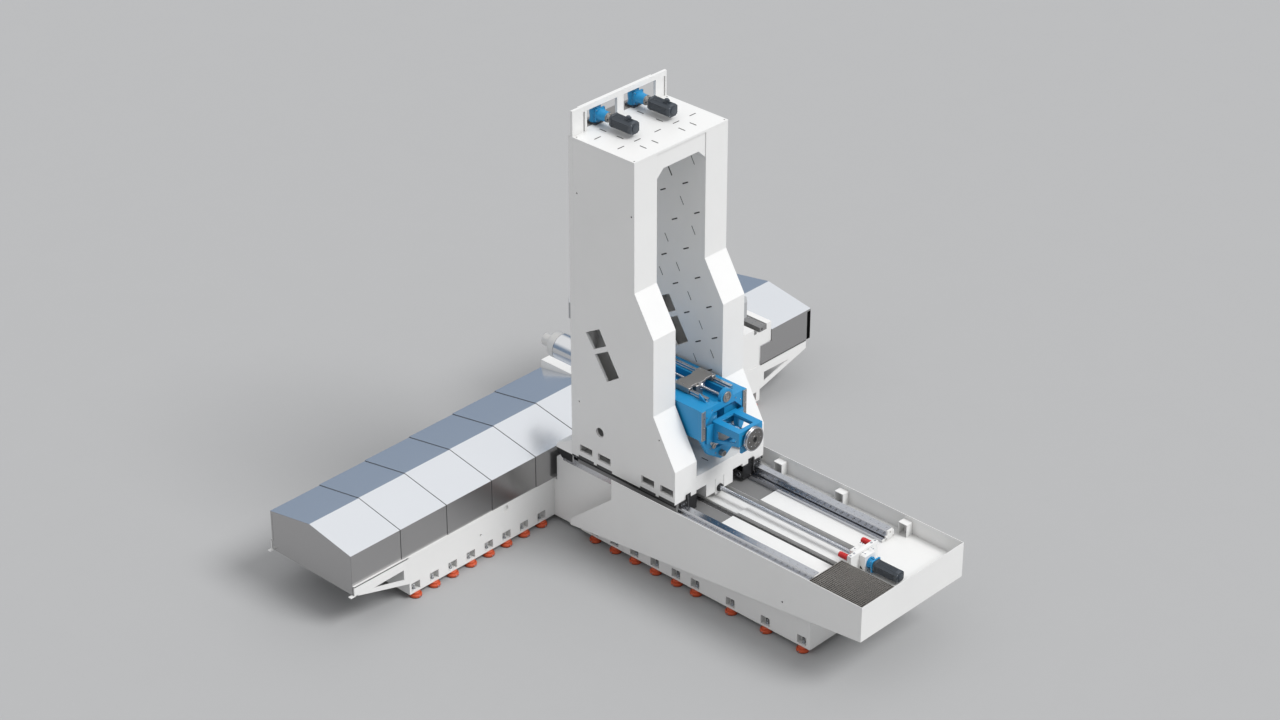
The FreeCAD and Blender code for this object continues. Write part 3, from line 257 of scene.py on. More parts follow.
class Build:
    """Collects solids in working millimetres and turns them into one object."""

    def __init__(self):
        self.bm = bmesh.new()

    def loops(self, rings, closed=True, cap=True):
        """Faces between rings of points."""
        rows = [[self.bm.verts.new(p) for p in ring] for ring in rings]
        n = len(rows[0])
        for a, b in zip(rows, rows[1:]):
            for i in range(n if closed else n - 1):
                j = (i + 1) % n
                self.bm.faces.new((a[i], a[j], b[j], b[i]))
        if cap:
            self.bm.faces.new(rows[0])
            self.bm.faces.new(rows[-1])

    def prism(self, points, axis, a, b, chamfer=0.0):
        """An outline pushed from a to b along an axis, with a chamfer at both ends."""
        stations = [(a, points), (b, points)]
        if chamfer > 0:
            small = shrink(points, chamfer)
            c = chamfer if b > a else -chamfer
            stations = [(a, small), (a + c, points), (b - c, points), (b, small)]
        self.loops([[turn(axis, t, p, q) for p, q in row] for t, row in stations])

    def box(self, x0, x1, y0, y1, z0, z1, chamfer=0.0):
        c = min(chamfer, (x1 - x0) / 3, (y1 - y0) / 3, (z1 - z0) / 3)
        self.prism(clip_corners(x0, x1, y0, y1, c), "z", z0, z1, c)

    def side_box(self, side, x0, x1, *rest):
        """A box whose x places are mirrored to the given side."""
        a, b = sorted((side * x0, side * x1))
        self.box(a, b, *rest)

    def lathe(self, axis, p, q, profile, sides=24, cap=True):
        """A turned solid: profile lists (place along the axis, radius)."""
        rings = []
        for t, r in profile:
            row = []
            for i in range(sides):
                a = 2 * math.pi * i / sides
                row.append(turn(axis, t, p + r * math.cos(a), q + r * math.sin(a)))
            rings.append(row)
        self.loops(rings, cap=cap)

    def tube(self, axis, p, q, y0, y1, r0, r1, soft=2.0, sides=40):
        """A ring with chamfered outer edges."""
        profile = [(y0, r0), (y0, r1 - soft), (y0 + soft, r1), (y1 - soft, r1), (y1, r1 - soft), (y1, r0), (y0, r0)]
        self.lathe(axis, p, q, profile, sides, cap=False)

    def hexagon(self, axis, p, q, t, r, h, way=1):
        """A bolt head or nut: hexagon with a turned top."""
        self.lathe(axis, p, q, [(t, r), (t + way * h * 0.8, r), (t + way * h, r * 0.84)], 6)

    def cap_screw(self, axis, p, q, t, r, h, way=1):
        """A socket head screw with its socket."""
        rim = [(t, r), (t + way * h * 0.85, r), (t + way * h, r * 0.9), (t + way * h, r * 0.5),
               (t + way * h * 0.45, r * 0.46)]
        self.lathe(axis, p, q, rim, 12)

    def screw_ring(self, axis, p, q, radius, count, t, r, h, way=1, phase=0.0):
        """Socket head screws evenly spaced on a circle."""
        for k in range(count):
            a = 2 * math.pi / count * (k + phase)
            self.cap_screw(axis, p + radius * math.cos(a), q + radius * math.sin(a), t, r, h, way)

    def thread(self, axis, p, q, a, b, r, root, pitch, sides=14):
        """A ball screw: a round groove that winds along the shaft."""
        count = int((b - a) / pitch * sides)
        shape = ((0.0, r), (0.30, r), (0.42, root), (0.58, root), (0.70, r), (1.0, r))
        rows = []
        for f, radius in shape:
            row = []
            for k in range(count + 1):
                t = min(max(a + (k / sides + f) * pitch, a), b)
                w = 2 * math.pi * k / sides
                row.append(turn(axis, t, p + radius * math.cos(w), q + radius * math.sin(w)))
            rows.append(row)
        self.loops(rows, closed=False, cap=False)

    def done(self, name, material, body, smooth=0.0):
        """The object, riding on its body; smooth is the angle below which its edges shade smooth."""
        bmesh.ops.remove_doubles(self.bm, verts=self.bm.verts, dist=0.001)
        bmesh.ops.recalc_face_normals(self.bm, faces=self.bm.faces)
        for v in self.bm.verts:
            v.co = v.co * MM + ORIGIN
        mesh = bpy.data.meshes.new(name)
        self.bm.to_mesh(mesh)
        self.bm.free()
        obj = bpy.data.objects.new(name, mesh)
        bpy.context.scene.collection.objects.link(obj)
        mesh.materials.append(material)
        if smooth:
            for face in mesh.polygons:
                face.use_smooth = True
            mesh.set_sharp_from_angle(angle=math.radians(smooth))
        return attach(obj, body)


# Levelling mounts: place, and the direction in which each one's side screw points
MOUNT_H, BED_BOTTOM, PAD_H = 52.0, 86.0, 7.0
MOUNT_IN = 50.0
HOUSING_R, HOUSING_OUT = 94.0, 18.0
POCKET_W, POCKET_D, POCKET_Z0, POCKET_Z1 = 170.0, 90.0, 120.0, 260.0
BED_LO, BED_HI = span("x_bed")
XMOUNT_N, XMOUNT_END_LEFT, XMOUNT_END_RIGHT = 21, 120.0, 168.0
XMOUNT_PITCH = (BED_HI.x - BED_LO.x - XMOUNT_END_LEFT - XMOUNT_END_RIGHT) / (XMOUNT_N - 1)
XMOUNT_X = [BED_LO.x + XMOUNT_END_LEFT + XMOUNT_PITCH * i for i in range(XMOUNT_N)]
ZMOUNT_Y = (903.0, 487.0, 80.0, -336.0, -761.0, -1141.0, -1831.0, -2503.0, -3190.0)
ZBED_X = 886.0
MOUNTS = [(x, BED_LO.y + MOUNT_IN, 0, -1) for x in XMOUNT_X if abs(x) > ZBED_X + POCKET_W]
MOUNTS += [(x, BED_HI.y - MOUNT_IN, 0, 1) for x in XMOUNT_X]
MOUNTS += [(side * (ZBED_X - MOUNT_IN), y, side, 0) for side in (-1, 1) for y in ZMOUNT_Y]


def outward(x, y, dx, dy):
    """A mount's outward axis, its place along it and across it, and its sense."""
    return ("x", x, y, dx) if dx else ("y", y, x, dy)


def levelling_mounts():
    """Rubber pad, orange wedge housing, and a side screw with a steel head."""
    pads, bodies, heads = Build(), Build(), Build()
    r = HOUSING_R
    profile = [(PAD_H, r - 6), (PAD_H + 4, r), (MOUNT_H - 8, r), (MOUNT_H, r - 10), (MOUNT_H, r - 22),
               (MOUNT_H + 4, r - 26), (BED_BOTTOM - 6, r - 26), (BED_BOTTOM, r - 32)]
    stud = [(MOUNT_H - 4, 8), (MOUNT_H + 5, 8), (MOUNT_H + 7, 6)]
    for x, y, dx, dy in MOUNTS:
        x += HOUSING_OUT * (dx + abs(dy))
        y += HOUSING_OUT * dy
        pads.lathe("z", x, y, [(0, r - 4), (PAD_H, r - 2)], 28)
        bodies.lathe("z", x, y, profile, 28)
        axis, along, across, way = outward(x, y, dx, dy)
        start = along + way * (r - 14)
        boss = [(start, 21), (start + way * 14, 21), (start + way * 15, 18)]
        bodies.lathe(axis, across, MOUNT_H / 2, boss, 16)
        heads.hexagon(axis, across, MOUNT_H / 2, start + way * 15, 13, 0.9, way)
        for k in range(6):
            a = math.pi / 3 * k + 0.3
            bodies.lathe("z", x + 78 * math.cos(a), y + 78 * math.sin(a), stud, 8)
    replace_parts(bodies.done("mount_housings", ORANGE, "machine_bed", 35), "levelling_mounts")
    pads.done("mount_pads", RUBBER, "machine_bed", 35)
    heads.done("mount_screw_heads", STEEL, "machine_bed")


def pocket_studs():
    """Studs and nuts in the access pockets, light sheets on the pocket walls, and a black arch at the back that is
    painted shade beside the stud.
    """
    studs, shade_arches, liners = Build(), Build(), Build()
    z0 = POCKET_Z0
    rim, skin, back = POCKET_W / 2 - 0.2, POCKET_W / 2 - 1.2, POCKET_D - 0.2
    sheets = ((-rim, -skin, 1, back), (skin, rim, 1, back), (-skin, skin, back - 1, back))
    arch_r, arch_z, arch_in = 22, z0 + 78, 38.0
    for x, y, dx, dy in MOUNTS:
        studs.lathe("z", x, y, [(z0 - 30, 26), (z0 + 6, 26), (z0 + 7, 24)], 20)
        studs.hexagon("z", x, y, z0 + 6, 19, 22)
        studs.lathe("z", x, y, [(z0 + 20, 10), (z0 + 74, 10), (z0 + 77, 7)], 14)
        axis, along, across, way = outward(x, y, dx, dy)
        # Painted shade: a black arch on the pocket's back wall, off to one side of the stud, stands in for the shade
        # there.
        centre = across + 34 * (dy - dx)
        arch = [(centre - arch_r, z0 + 1), (centre + arch_r, z0 + 1)]
        for k in range(9):
            a = math.pi * k / 8
            arch.append((centre + arch_r * math.cos(a), arch_z + arch_r * math.sin(a)))
        t = along - way * arch_in
        shade_arches.prism(arch, axis, t - 1.0, t + 1.0)
        face = along + way * MOUNT_IN
        for u0, u1, v0, v1 in sheets:
            a, b = sorted((face - way * v0, face - way * v1))
            deep, wide = (a, b), (across + u0, across + u1)
            liners.box(*(deep + wide if dx else wide + deep), z0 + 0.2, POCKET_Z1 - 0.2)
    studs.done("mount_studs", STEEL, "machine_bed", 35)
    shade_arches.done("pocket_back_shade", RUBBER, "machine_bed")
    liners.done("pocket_liners", LIGHT, "machine_bed")


def ball_screws():
    """The ball screws of the column bed and of the headstock."""
    lo, hi = span("z_screw")
    c = (lo + hi) / 2
    r = (hi.x - lo.x) / 2
    part = Build()
    part.thread("y", c.x, c.z, lo.y, hi.y, r, r - 5, 34.0, 16)
    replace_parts(part.done("z_screw_thread", STEEL, "machine_bed", 40), "z_screw")
    lo, hi = span("y_screws")
    part = Build()
    r = (hi.y - lo.y) / 2
    for x in (lo.x + r, hi.x - r):
        part.thread("z", x, (lo.y + hi.y) / 2, lo.z, hi.z, r, r - 4, 30.0, 14)
    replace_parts(part.done("y_screw_threads", STEEL, "column", 40), "y_screws")


def servo_motor(part, trim, x, z, y0, y1, half, plug):
    """Ribbed housing, end bells, rear cap and a plug box."""
    chamfer = half * 0.36
    rib_y0, rib_y1 = y0 + 74, y1 - 40
    part.prism(octagon(half - 6, chamfer, x, z), "y", rib_y0, rib_y1)
    part.prism(octagon(half, chamfer, x, z), "y", rib_y1, y1, 5)
    part.prism(octagon(half, chamfer + 4, x, z), "y", y0 + 14, rib_y0, 5)
    part.lathe("y", x, z, [(y0 + 14, half * 0.62), (y0 + 3, half * 0.62), (y0, half * 0.56)], 28)
    k = half - chamfer
    for side in (-1, 1):
        root, crest = side * (half - 7), side * (half - 1)
        for i in range(5):
            t = -k + 8 + i * (2 * k - 16) / 4
            rib = [(root, t - 4), (crest, t - 3), (crest, t + 3), (root, t + 4)]
            part.prism([(x + p, z + q) for p, q in rib], "y", rib_y0, rib_y1)
            part.prism([(x + q, z + p) for p, q in rib], "y", rib_y0, rib_y1)
    for sx, sz in CORNERS:
        trim.cap_screw("y", x + sx * (half - 15), z + sz * (half - 30), y0 + 14, 6, 5, -1)
    if plug:
        top = z + half
        part.box(x - 36, x + 36, y0 + 104, y0 + 178, top - 8, top + 10, 3)
        socket = [(top + 10, 34), (top + 20, 34), (top + 22, 31), (top + 50, 31), (top + 56, 26)]
        part.lathe("z", x, y0 + 141, socket, 24)
        cap = [(y0 + 141, 19), (y0 + 112, 19), (y0 + 110, 23), (y0 + 100, 23), (y0 + 98, 20)]
        part.lathe("y", x, top + 34, cap, 20)


def motors():
    """The headstock's two motors on the column, and the column's motor on its bed."""
    lo, hi = span("y_motors")
    half = 92.0
    part, trim = Build(), Build()
    for x in (lo.x + half, hi.x - half):
        servo_motor(part, trim, x, lo.z + half, lo.y, hi.y, half, True)
    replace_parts(part.done("y_motor_housings", DARK, "column", 35), "y_motors")
    trim.done("y_motor_screws", STEEL, "column")
    lo, hi = span("z_drive_motor")
    part, trim = Build(), Build()
    servo_motor(part, trim, (lo.x + hi.x) / 2, (lo.z + hi.z) / 2, lo.y, hi.y, (hi.x - lo.x) / 2, False)
    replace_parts(part.done("z_motor_housing", DARK, "machine_bed", 35), "z_drive_motor")
    trim.done("z_motor_screws", STEEL, "machine_bed")


def gearboxes():
    """Right-angle gearboxes over the vertical screws: base, tower, flange, bell and adapter."""
    lo, hi = span("y_gearboxes")
    col_top = TOP_HI[2] / MM
    axis_z = col_top + 157
    base_z = col_top + 30
    blue, steel, dark = Build(), Build(), Build()
    half = 86.0
    y = hi.y - half
    flange_y = y - half
    bell_y = flange_y - 26 - 150
    ring_y = bell_y - 100
    ring_mid = (ring_y + bell_y) / 2
    tower = [(base_z, 84), (base_z + 10, 86), (base_z + 26, 80), (axis_z - 60, 76), (axis_z - 10, 82),
             (axis_z + 40, 82), (axis_z + 60, 74), (hi.z - 26, 70), (hi.z - 24, 84), (hi.z - 6, 84), (hi.z, 78)]
    bell = [(flange_y - 26, 92), (flange_y - 40, 92), (flange_y - 52, 84), (bell_y + 40, 76), (bell_y + 18, 76),
            (bell_y + 16, 76), (bell_y, 76)]
    ring = [(bell_y, 74), (bell_y - 12, 74), (bell_y - 13, 66), (ring_y + 26, 66), (ring_y + 24, 74), (ring_y, 74)]
    for x in (lo.x + 94, hi.x - 94):
        dark.box(x - half, x + half, y - half, y + half, col_top, base_z, 3)
        blue.lathe("z", x, y, tower, 32)
        steel.screw_ring("z", x, y, 74, 8, hi.z - 12, 6, 9, phase=0.5)
        blue.prism(rounded(x, axis_z, 94, 16), "y", flange_y - 26, flange_y, 2)
        blue.lathe("y", x, axis_z, [(flange_y - 4, 76), (flange_y + 20, 76), (y - 30, 66)], 28)
        for sx, sz in CORNERS:
            steel.cap_screw("y", x + sx * 80, axis_z + sz * 80, flange_y - 26, 7, 8, -1)
        blue.lathe("y", x, axis_z, bell, 32)
        steel.lathe("y", x, axis_z, ring, 28)
        steel.prism(rounded(x, axis_z, 74, 14), "y", ring_y, ring_y + 20, 1.5)
        steel.lathe("z", x, ring_mid, [(axis_z + 40, 22), (axis_z + 74, 22), (axis_z + 74, 17), (axis_z + 70, 16)], 16)
        dark.lathe("x", ring_mid, axis_z, [(x - 73, 16), (x - 60, 16)], 14)
    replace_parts(blue.done("y_gearbox_castings", BLUE, "column", 35), "y_gearboxes")
    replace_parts(steel.done("y_gearbox_adapters", PLATE, "column", 35), "y_drive_mounts")
    dark.done("y_gearbox_bases", DARK, "column", 35)


def grating():
    """Walk-on grating: frame, bearing bars, cross rods and legs."""
    lo, hi = span("grating")
    top, low = hi.z, hi.z - 32
    steel, legs = Build(), Build()
    t, leg, pitch = 5.0, 32, 34.0
    for y0, y1 in ((lo.y, lo.y + t), (hi.y - t, hi.y)):
        steel.box(lo.x, hi.x, y0, y1, low, top)
    for x0, x1 in ((lo.x, lo.x + t), (hi.x - t, hi.x)):
        steel.box(x0, x1, lo.y + t, hi.y - t, low, top)
    n = int((hi.x - lo.x - 2 * t) / pitch)
    for i in range(1, n):
        x = lo.x + t + i * ((hi.x - lo.x - 2 * t) / n)
        steel.box(x - 2, x + 2, lo.y + t, hi.y - t, low, top - 1)
    n = int((hi.y - lo.y - 2 * t) / pitch)
    for i in range(1, n):
        y = lo.y + t + i * ((hi.y - lo.y - 2 * t) / n)
        steel.box(lo.x + t, hi.x - t, y - 2, y + 2, top - 14, top - 1.2)
    for x in (lo.x, hi.x - leg):
        for y in (lo.y, hi.y - leg):
            legs.box(x, x + leg, y, y + leg, lo.z, low, 2)
    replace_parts(steel.done("grating_bars", PLATE, "machine_bed"), "grating")
    legs.done("grating_legs", WHITE, "machine_bed")


# Column: inner face, top, outline of an upright and its windows
COL_IN, COL_TOP_Z = 502.0, 6638.0
UPRIGHT = [(1188, 1425), (1188, 6598), (0, 6598), (0, 4599), (-370, 3978), (-370, 2735), (-800, 1973), (-800, 1425)]
WINDOWS = [[(970, 3604), (694, 3759), (557, 3530), (806, 3384)], [(789, 3311), (525, 3458), (305, 3103), (545, 2945)]]
SLOT_H = 3.0


def slot(part, axis, t, way, p, q, dp, dq, length, width):
    """A slim bar with round ends lying on a face."""
    n = math.hypot(dp, dq)
    ux, uy = dp / n, dq / n
    r = width / 2
    run = length / 2 - r
    outline = []
    for end in (1, -1):
        for k in range(6):
            a = math.pi * k / 5 - math.pi / 2
            c, s = math.cos(a) * end, math.sin(a) * end
            outline.append((p + ux * (run * end + r * c) - uy * r * s, q + uy * (run * end + r * c) + ux * r * s))
    part.prism(outline, axis, t, t + way * SLOT_H, min(1.5, SLOT_H * 0.4))


def weld_slots():
    """Plug-weld slots on the inner walls, the top plate and the cross-member."""
    part = Build()
    u, v = (-0.866, 0.5), (-0.5, -0.866)
    long_slot, slim_slot = (125, 20), (140, 11)
    start, pitch, lowest = (389.0, 5672.0), 458.0, 2700
    marks = []
    for column, shift, direction, size in ((0, 0, u, long_slot), (-499, 0, u, long_slot), (-998, 0, u, long_slot),
                                           (-206, 0.5, v, slim_slot), (-811, 0.5, v, slim_slot),
                                           (-1197, 0.5, v, slim_slot)):
        for i in range(-3, 12):
            along = (i + shift) * pitch
            y = start[0] + u[0] * column + v[0] * along
            z = start[1] + u[1] * column + v[1] * along
            marks.append((y, z, direction, *size))
    marks += [(-212.0, 3368.0, u, *long_slot), (688.0, 5756.0, v, *slim_slot), (250.0, 6083.0, v, *slim_slot)]
    for y, z, direction, length, width in marks:
        around = [(y + direction[0] * d, z + direction[1] * d) for d in (-length * 0.75, 0, length * 0.75)]
        around += [(y + a, z + b) for a in (-90, 90) for b in (-90, 90)]
        if not all(inside(p, q, UPRIGHT) for p, q in around) or z < lowest:
            continue
        if any(inside(p, q, w) for p, q in around for w in WINDOWS):
            continue
        for side in (-1, 1):
            slot(part, "x", side * COL_IN, -side, y, z, *direction, length, width)
    for x, y in [(x, 470) for x in (-733, -402, 10, 387, 731)] + [(x, 917) for x in (-736, 736)]:
        slot(part, "z", COL_TOP_Z, 1, x, y, 1, 0, 130, 16)
    for x, rows in ((510, (1032, 700, 258)), (275, (1058, 684, 255))):
        for side in (-1, 1):
            for y in rows:
                slot(part, "z", COL_TOP_Z, 1, side * x, y, 0, 1, 130, 16)
    slot(part, "z", 1704, 1, -60, -560, 0, 1, 130, 16)
    part.done("weld_slots", SLOT, "column")


def bracket_arms():
    """Bracket arms under the end covers: a web with its window, a flange and a lip at the tip."""
    part = Build()
    lo, hi = span("x_arms")
    bed_top, foot_z, tip_z, web, flange, lip = hi.z, 280.0, 582.0, 20.0, 60.0, 70.0
    for root, tip, s in ((BED_LO.x, lo.x + lip, -1), (BED_HI.x, hi.x, 1)):
        near, far = root + s * 96, root + s * 96 + s * 590
        outline = [(root, bed_top), (tip, bed_top), (tip, tip_z), (root, foot_z)]
        window = [(near, 566), (far, 550), (far, 550), (near, 394)]
        for web_y, y0 in ((BED_LO.y, BED_LO.y), (BED_HI.y - web, BED_HI.y - flange)):
            rings = [(web_y, outline), (web_y + web, outline), (web_y + web, window), (web_y, window), (web_y, outline)]
            part.loops([[(x, y, z) for x, z in points] for y, points in rings], cap=False)
            part.box(min(root, tip), max(root, tip), y0, y0 + flange, bed_top - web, bed_top - 0.3, 2)
            if s < 0:
                part.box(tip - lip, tip + lip, y0, y0 + flange, tip_z - 14, tip_z, 2)
    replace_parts(part.done("arm_frames", WHITE, "machine_bed"), "x_arms")


# Telescopic covers: the first one's size, and the step to each next one
RIDGE_Y = (BED_LO.y + BED_HI.y) / 2
COVER_X0 = span("cover_1")[0].x
COVER_FIRST, COVER_PITCH, COVER_STEP, COVER_SHEET = 947.0, 902.0, 8.0, 3.0
COVER_HALF, COVER_FOOT_Z, EAVE_Z, RIDGE_Z = 871.0, 739.0, 1244.0, 1404.0


def roof(k, grow):
    """The outline of cover k, moved outwards by grow."""
    lift = COVER_STEP * (k - 1) + grow
    half = COVER_HALF + lift
    return [(RIDGE_Y - half, COVER_FOOT_Z), (RIDGE_Y - half, EAVE_Z + lift), (RIDGE_Y, RIDGE_Z + lift),
            (RIDGE_Y + half, EAVE_Z + lift), (RIDGE_Y + half, COVER_FOOT_Z)]


def band(part, outer, inner, x0, x1):
    """A strip between two cover outlines."""
    part.loops([[(x, y, z) for y, z in outer + inner[::-1]] for x in (x0, x1)])


def cover_details():
    """Rubber wipers and thin lips in the seams, rivets, black strips at the end of the last cover, side walls and the
    end frame.
    """
    for k in range(2, 7):
        body = "saddle" if k == 6 else "cover_%d" % k
        wiper, lip, rivets = Build(), Build(), Build()
        x0 = COVER_X0 + COVER_FIRST + COVER_PITCH * (k - 2)
        band(wiper, roof(k, -COVER_SHEET - 0.2), roof(k - 1, 0.8), x0 + 1, x0 + 16)
        band(lip, roof(k, 0.5), roof(k, 0.1), x0 + 6, x0 + 46)
        lift = COVER_STEP * (k - 1)
        for z in places(800, 1190 + lift, 130):
            for side in (-1, 1):
                y = RIDGE_Y + side * (COVER_HALF + lift + 0.4)
                rivets.lathe("y", x0 + 28, z, [(y, 6), (y + side * 1.6, 5), (y + side * 2.4, 2)], 8)
        wiper.done("cover_%d_wiper" % k, RUBBER, body)
        lip.done("cover_%d_lip" % k, SHEET, body)
        rivets.done("cover_%d_rivets" % k, STEEL, body, 35)
    strip, wall, end = Build(), Build(), Build()
    lo, hi = span("cover_6")
    for y in (lo.y - 2.0, hi.y + 0.1):
        strip.box(4944, hi.x - 2, y, y + 1.9, 742, 1250, 0.6)
    strip.done("cover_end_brush", BLACK_STRIP, "saddle")
    half = COVER_HALF + COVER_STEP * 5
    deck_x0, deck_x1 = 3812.5, span("saddle")[1].x - 0.5
    for side in (-1, 1):
        a, b = sorted((RIDGE_Y + side * half, RIDGE_Y + side * (half - COVER_SHEET)))
        wall.box(deck_x0, deck_x1, a, b, 738.5, 1079.5)
    wall.done("cover_6_walls", SHEET, "saddle")
    band(end, roof(1, -4), roof(1, -34), COVER_X0 - 2.0, COVER_X0)
    end.done("cover_end_frame", SHEET, "machine_bed")


# Column bed: top of the guides, axis of the screw, top and rear end of the floor between the guides
GUIDE_TOP = span("z_guides")[1].z
SCREW_AXIS = (span("z_screw")[0].z + span("z_screw")[1].z) / 2
BED_FLOOR_Z, BED_FLOOR_Y = 1150.0, -1337.0
# Column feet: rear and front end of their wipers, and the shoe notches
FOOT_Y0, FOOT_Y1 = -796, 1186
NOTCH_Y = (857.0, 485.0, -392.0, -763.0)


def column_feet():
    """Black wiper strips, dark shoes in the notches, apron skirts, blocks on the inner guide bars; the black strips and
    skirts are also painted shade for the deep shade under the column's edge, a thin black sheet on the guide frame is
    painted shade alone, and the shoes' and blocks' dark grey is painted shade.
    """
    black, grey, bright, strips = Build(), Build(), Build(), Build()
    apron_lo, apron_hi = span("column_apron")
    frame_lo, frame_hi = span("guide_frame")
    rear, front = apron_lo.y + 0.3, apron_hi.y + 0.5
    skirt = [(rear, 1261.4), (apron_hi.y - 120.6, 1261.4), (front, 1400.6), (rear, 1400.6)]
    for side in (-1, 1):
        # Painted shade: the shoes' dark grey stands in for the shade in the notches.
        for y in NOTCH_Y:
            grey.side_box(side, 921, 956, y - 28, y + 284, 1404, 1459, 3)
            for k in range(4):
                grey.cap_screw("x", y + 30 + k * 66, 1436, side * 956, 8, 3, side)
        # Painted shade: this black strip along the foot, the apron skirt and the thin black sheet on the guide frame
        # stand in for the deep shade under the column's edge; the strip and skirt are wipers too.
        black.side_box(side, 919.3, 950, FOOT_Y0, FOOT_Y1, 1372, 1402, 1)
        strips.side_box(side, 919.3, 925.3, FOOT_Y0, FOOT_Y1, 1290, 1371, 1)
        black.prism(skirt, "x", *sorted((side * 929.4, side * 954.6)))
        black.side_box(side, frame_hi.x + 0.1, frame_hi.x + 0.9, frame_lo.y, frame_hi.y, frame_lo.z, 1401)
        for y0, y1, way in ((-828, -801, -1), (1190, 1204, 1)):
            black.side_box(side, 726, 862, y0, y1, GUIDE_TOP + 3, 1418, 3)
            for x in (side * 745, side * 794, side * 843):
                bright.cap_screw("y", x, 1392, y0 if way < 0 else y1, 8, 4, way)
        grey.side_box(side, 506, 632, -798, -640, 1192, 1423, 4)
        grey.side_box(side, 506, 632, 900, 1060, 1192, 1423, 4)
        black.side_box(side, 506, 700, -812, -801, 1232, 1421, 2)
        black.side_box(side, 506, 700, -798, -640, 1324, 1423, 2)
        black.side_box(side, 506, 630, -812, -801, 1192, 1232, 1)
        x = side * 505
        rim = [(x, 44), (x - side * 6, 44), (x - side * 8, 41), (x - side * 8, 30), (x - side * 2, 28)]
        bright.lathe("x", -728, 1262, rim, 24)
        black.lathe("x", -728, 1262, [(x - side * 1.0, 28), (x - side * 2.6, 27)], 24)
        grey.side_box(side, 702, 726, -840, -813, 1268, 1512, 3)
        black.side_box(side, 626, 728, -806, -801, 1424, 1500, 1)
    black.lathe("y", 0, SCREW_AXIS, [(-801, 62), (-822, 62), (-828, 56), (-828, 40), (-812, 38.5)], 28)
    black.done("foot_wipers_and_shade", RUBBER, "column", 35)
    grey.done("foot_blocks", SHADOW, "column", 35)
    strips.done("foot_strips", MIDGREY, "column")
    bright.done("foot_fittings", STEEL, "column", 35)


def column_bed():
    """Grey cover plates, cable chain, white strips, guide screws and end brackets; the chain and a plate in the other
    channel are dark as painted shade for the channels.
    """
    plates, chain, strip, screws, brackets, plugs = Build(), Build(), Build(), Build(), Build(), Build()
    top = BED_FLOOR_Z
    y_start = BED_FLOOR_Y + 3
    for side in (-1, 1):
        a, b = sorted((side * 302, side * 634))
        for y0, y1 in ((y_start, -560), (-556, 220), (224, 1000)):
            plates.box(a, b, y0, y1, top, top + 3, 1)
            for y in (y0 + 24, y1 - 24):
                for x in (a + 22, (a + b) / 2, b - 22):
                    screws.cap_screw("z", x, y, top + 3, 8, 4)
    strip.box(130, 175, y_start, 1000, top, top + 9, 2)
    strip.box(-175, -130, y_start, 1000, top, top + 3, 1)
    # Painted shade: the chain and the plate on the floor of the other channel are dark so that both channels look
    # shaded.
    channel_y0, channel_y1, link, pitch = -3278.0, 1080, 46, 58
    y = channel_y0
    while y < channel_y1:
        chain.box(-293, -187, y, y + link, 1092, 1122, 4)
        chain.box(-286, -194, y + link, y + pitch, 1096, 1114)
        y += pitch
    plates.box(187, 293, channel_y0, channel_y1, 1091, 1094)
    lo, hi = span("z_guides")
    bracket = [(702, 1181), (884, 1181), (884, 1300), (852, 1300), (852, 1336), (736, 1336), (736, 1262), (702, 1262)]
    for side in (-1, 1):
        for y in places(lo.y, hi.y, 110, 60):
            screws.cap_screw("z", side * 733, y, 1260, 9, 7)
            screws.cap_screw("z", side * 857, y, 1260, 8, 7)
        for y in places(lo.y, hi.y, 150, 90):
            screws.lathe("z", side * 668, y, [(1225, 11), (1226, 10)], 10)
        for y in places(lo.y, hi.y, 150, 40):
            plugs.lathe("z", side * 794, y, [(GUIDE_TOP, 10), (GUIDE_TOP + 0.2, 10)], 10)
        brackets.prism([(side * x, z) for x, z in bracket], "y", lo.y - 26, lo.y - 1, 2)
        for x, z in ((720, 1215), (866, 1215), (794, 1300)):
            screws.cap_screw("y", side * x, z, lo.y - 26, 9, 7, -1)
        brackets.side_box(side, 636, 700, lo.y - 14, lo.y - 1, 1181, 1223, 2)
    plates.done("bed_cover_plates", MIDGREY, "machine_bed")
    chain.done("cable_chain", SHADOW, "machine_bed")
    strip.done("scale_strip", LIGHT, "machine_bed")
    screws.done("bed_screws", PLATE, "machine_bed", 35)
    brackets.done("guide_end_brackets", LIGHT, "machine_bed")
    plugs.done("guide_plugs", MIDGREY, "machine_bed")


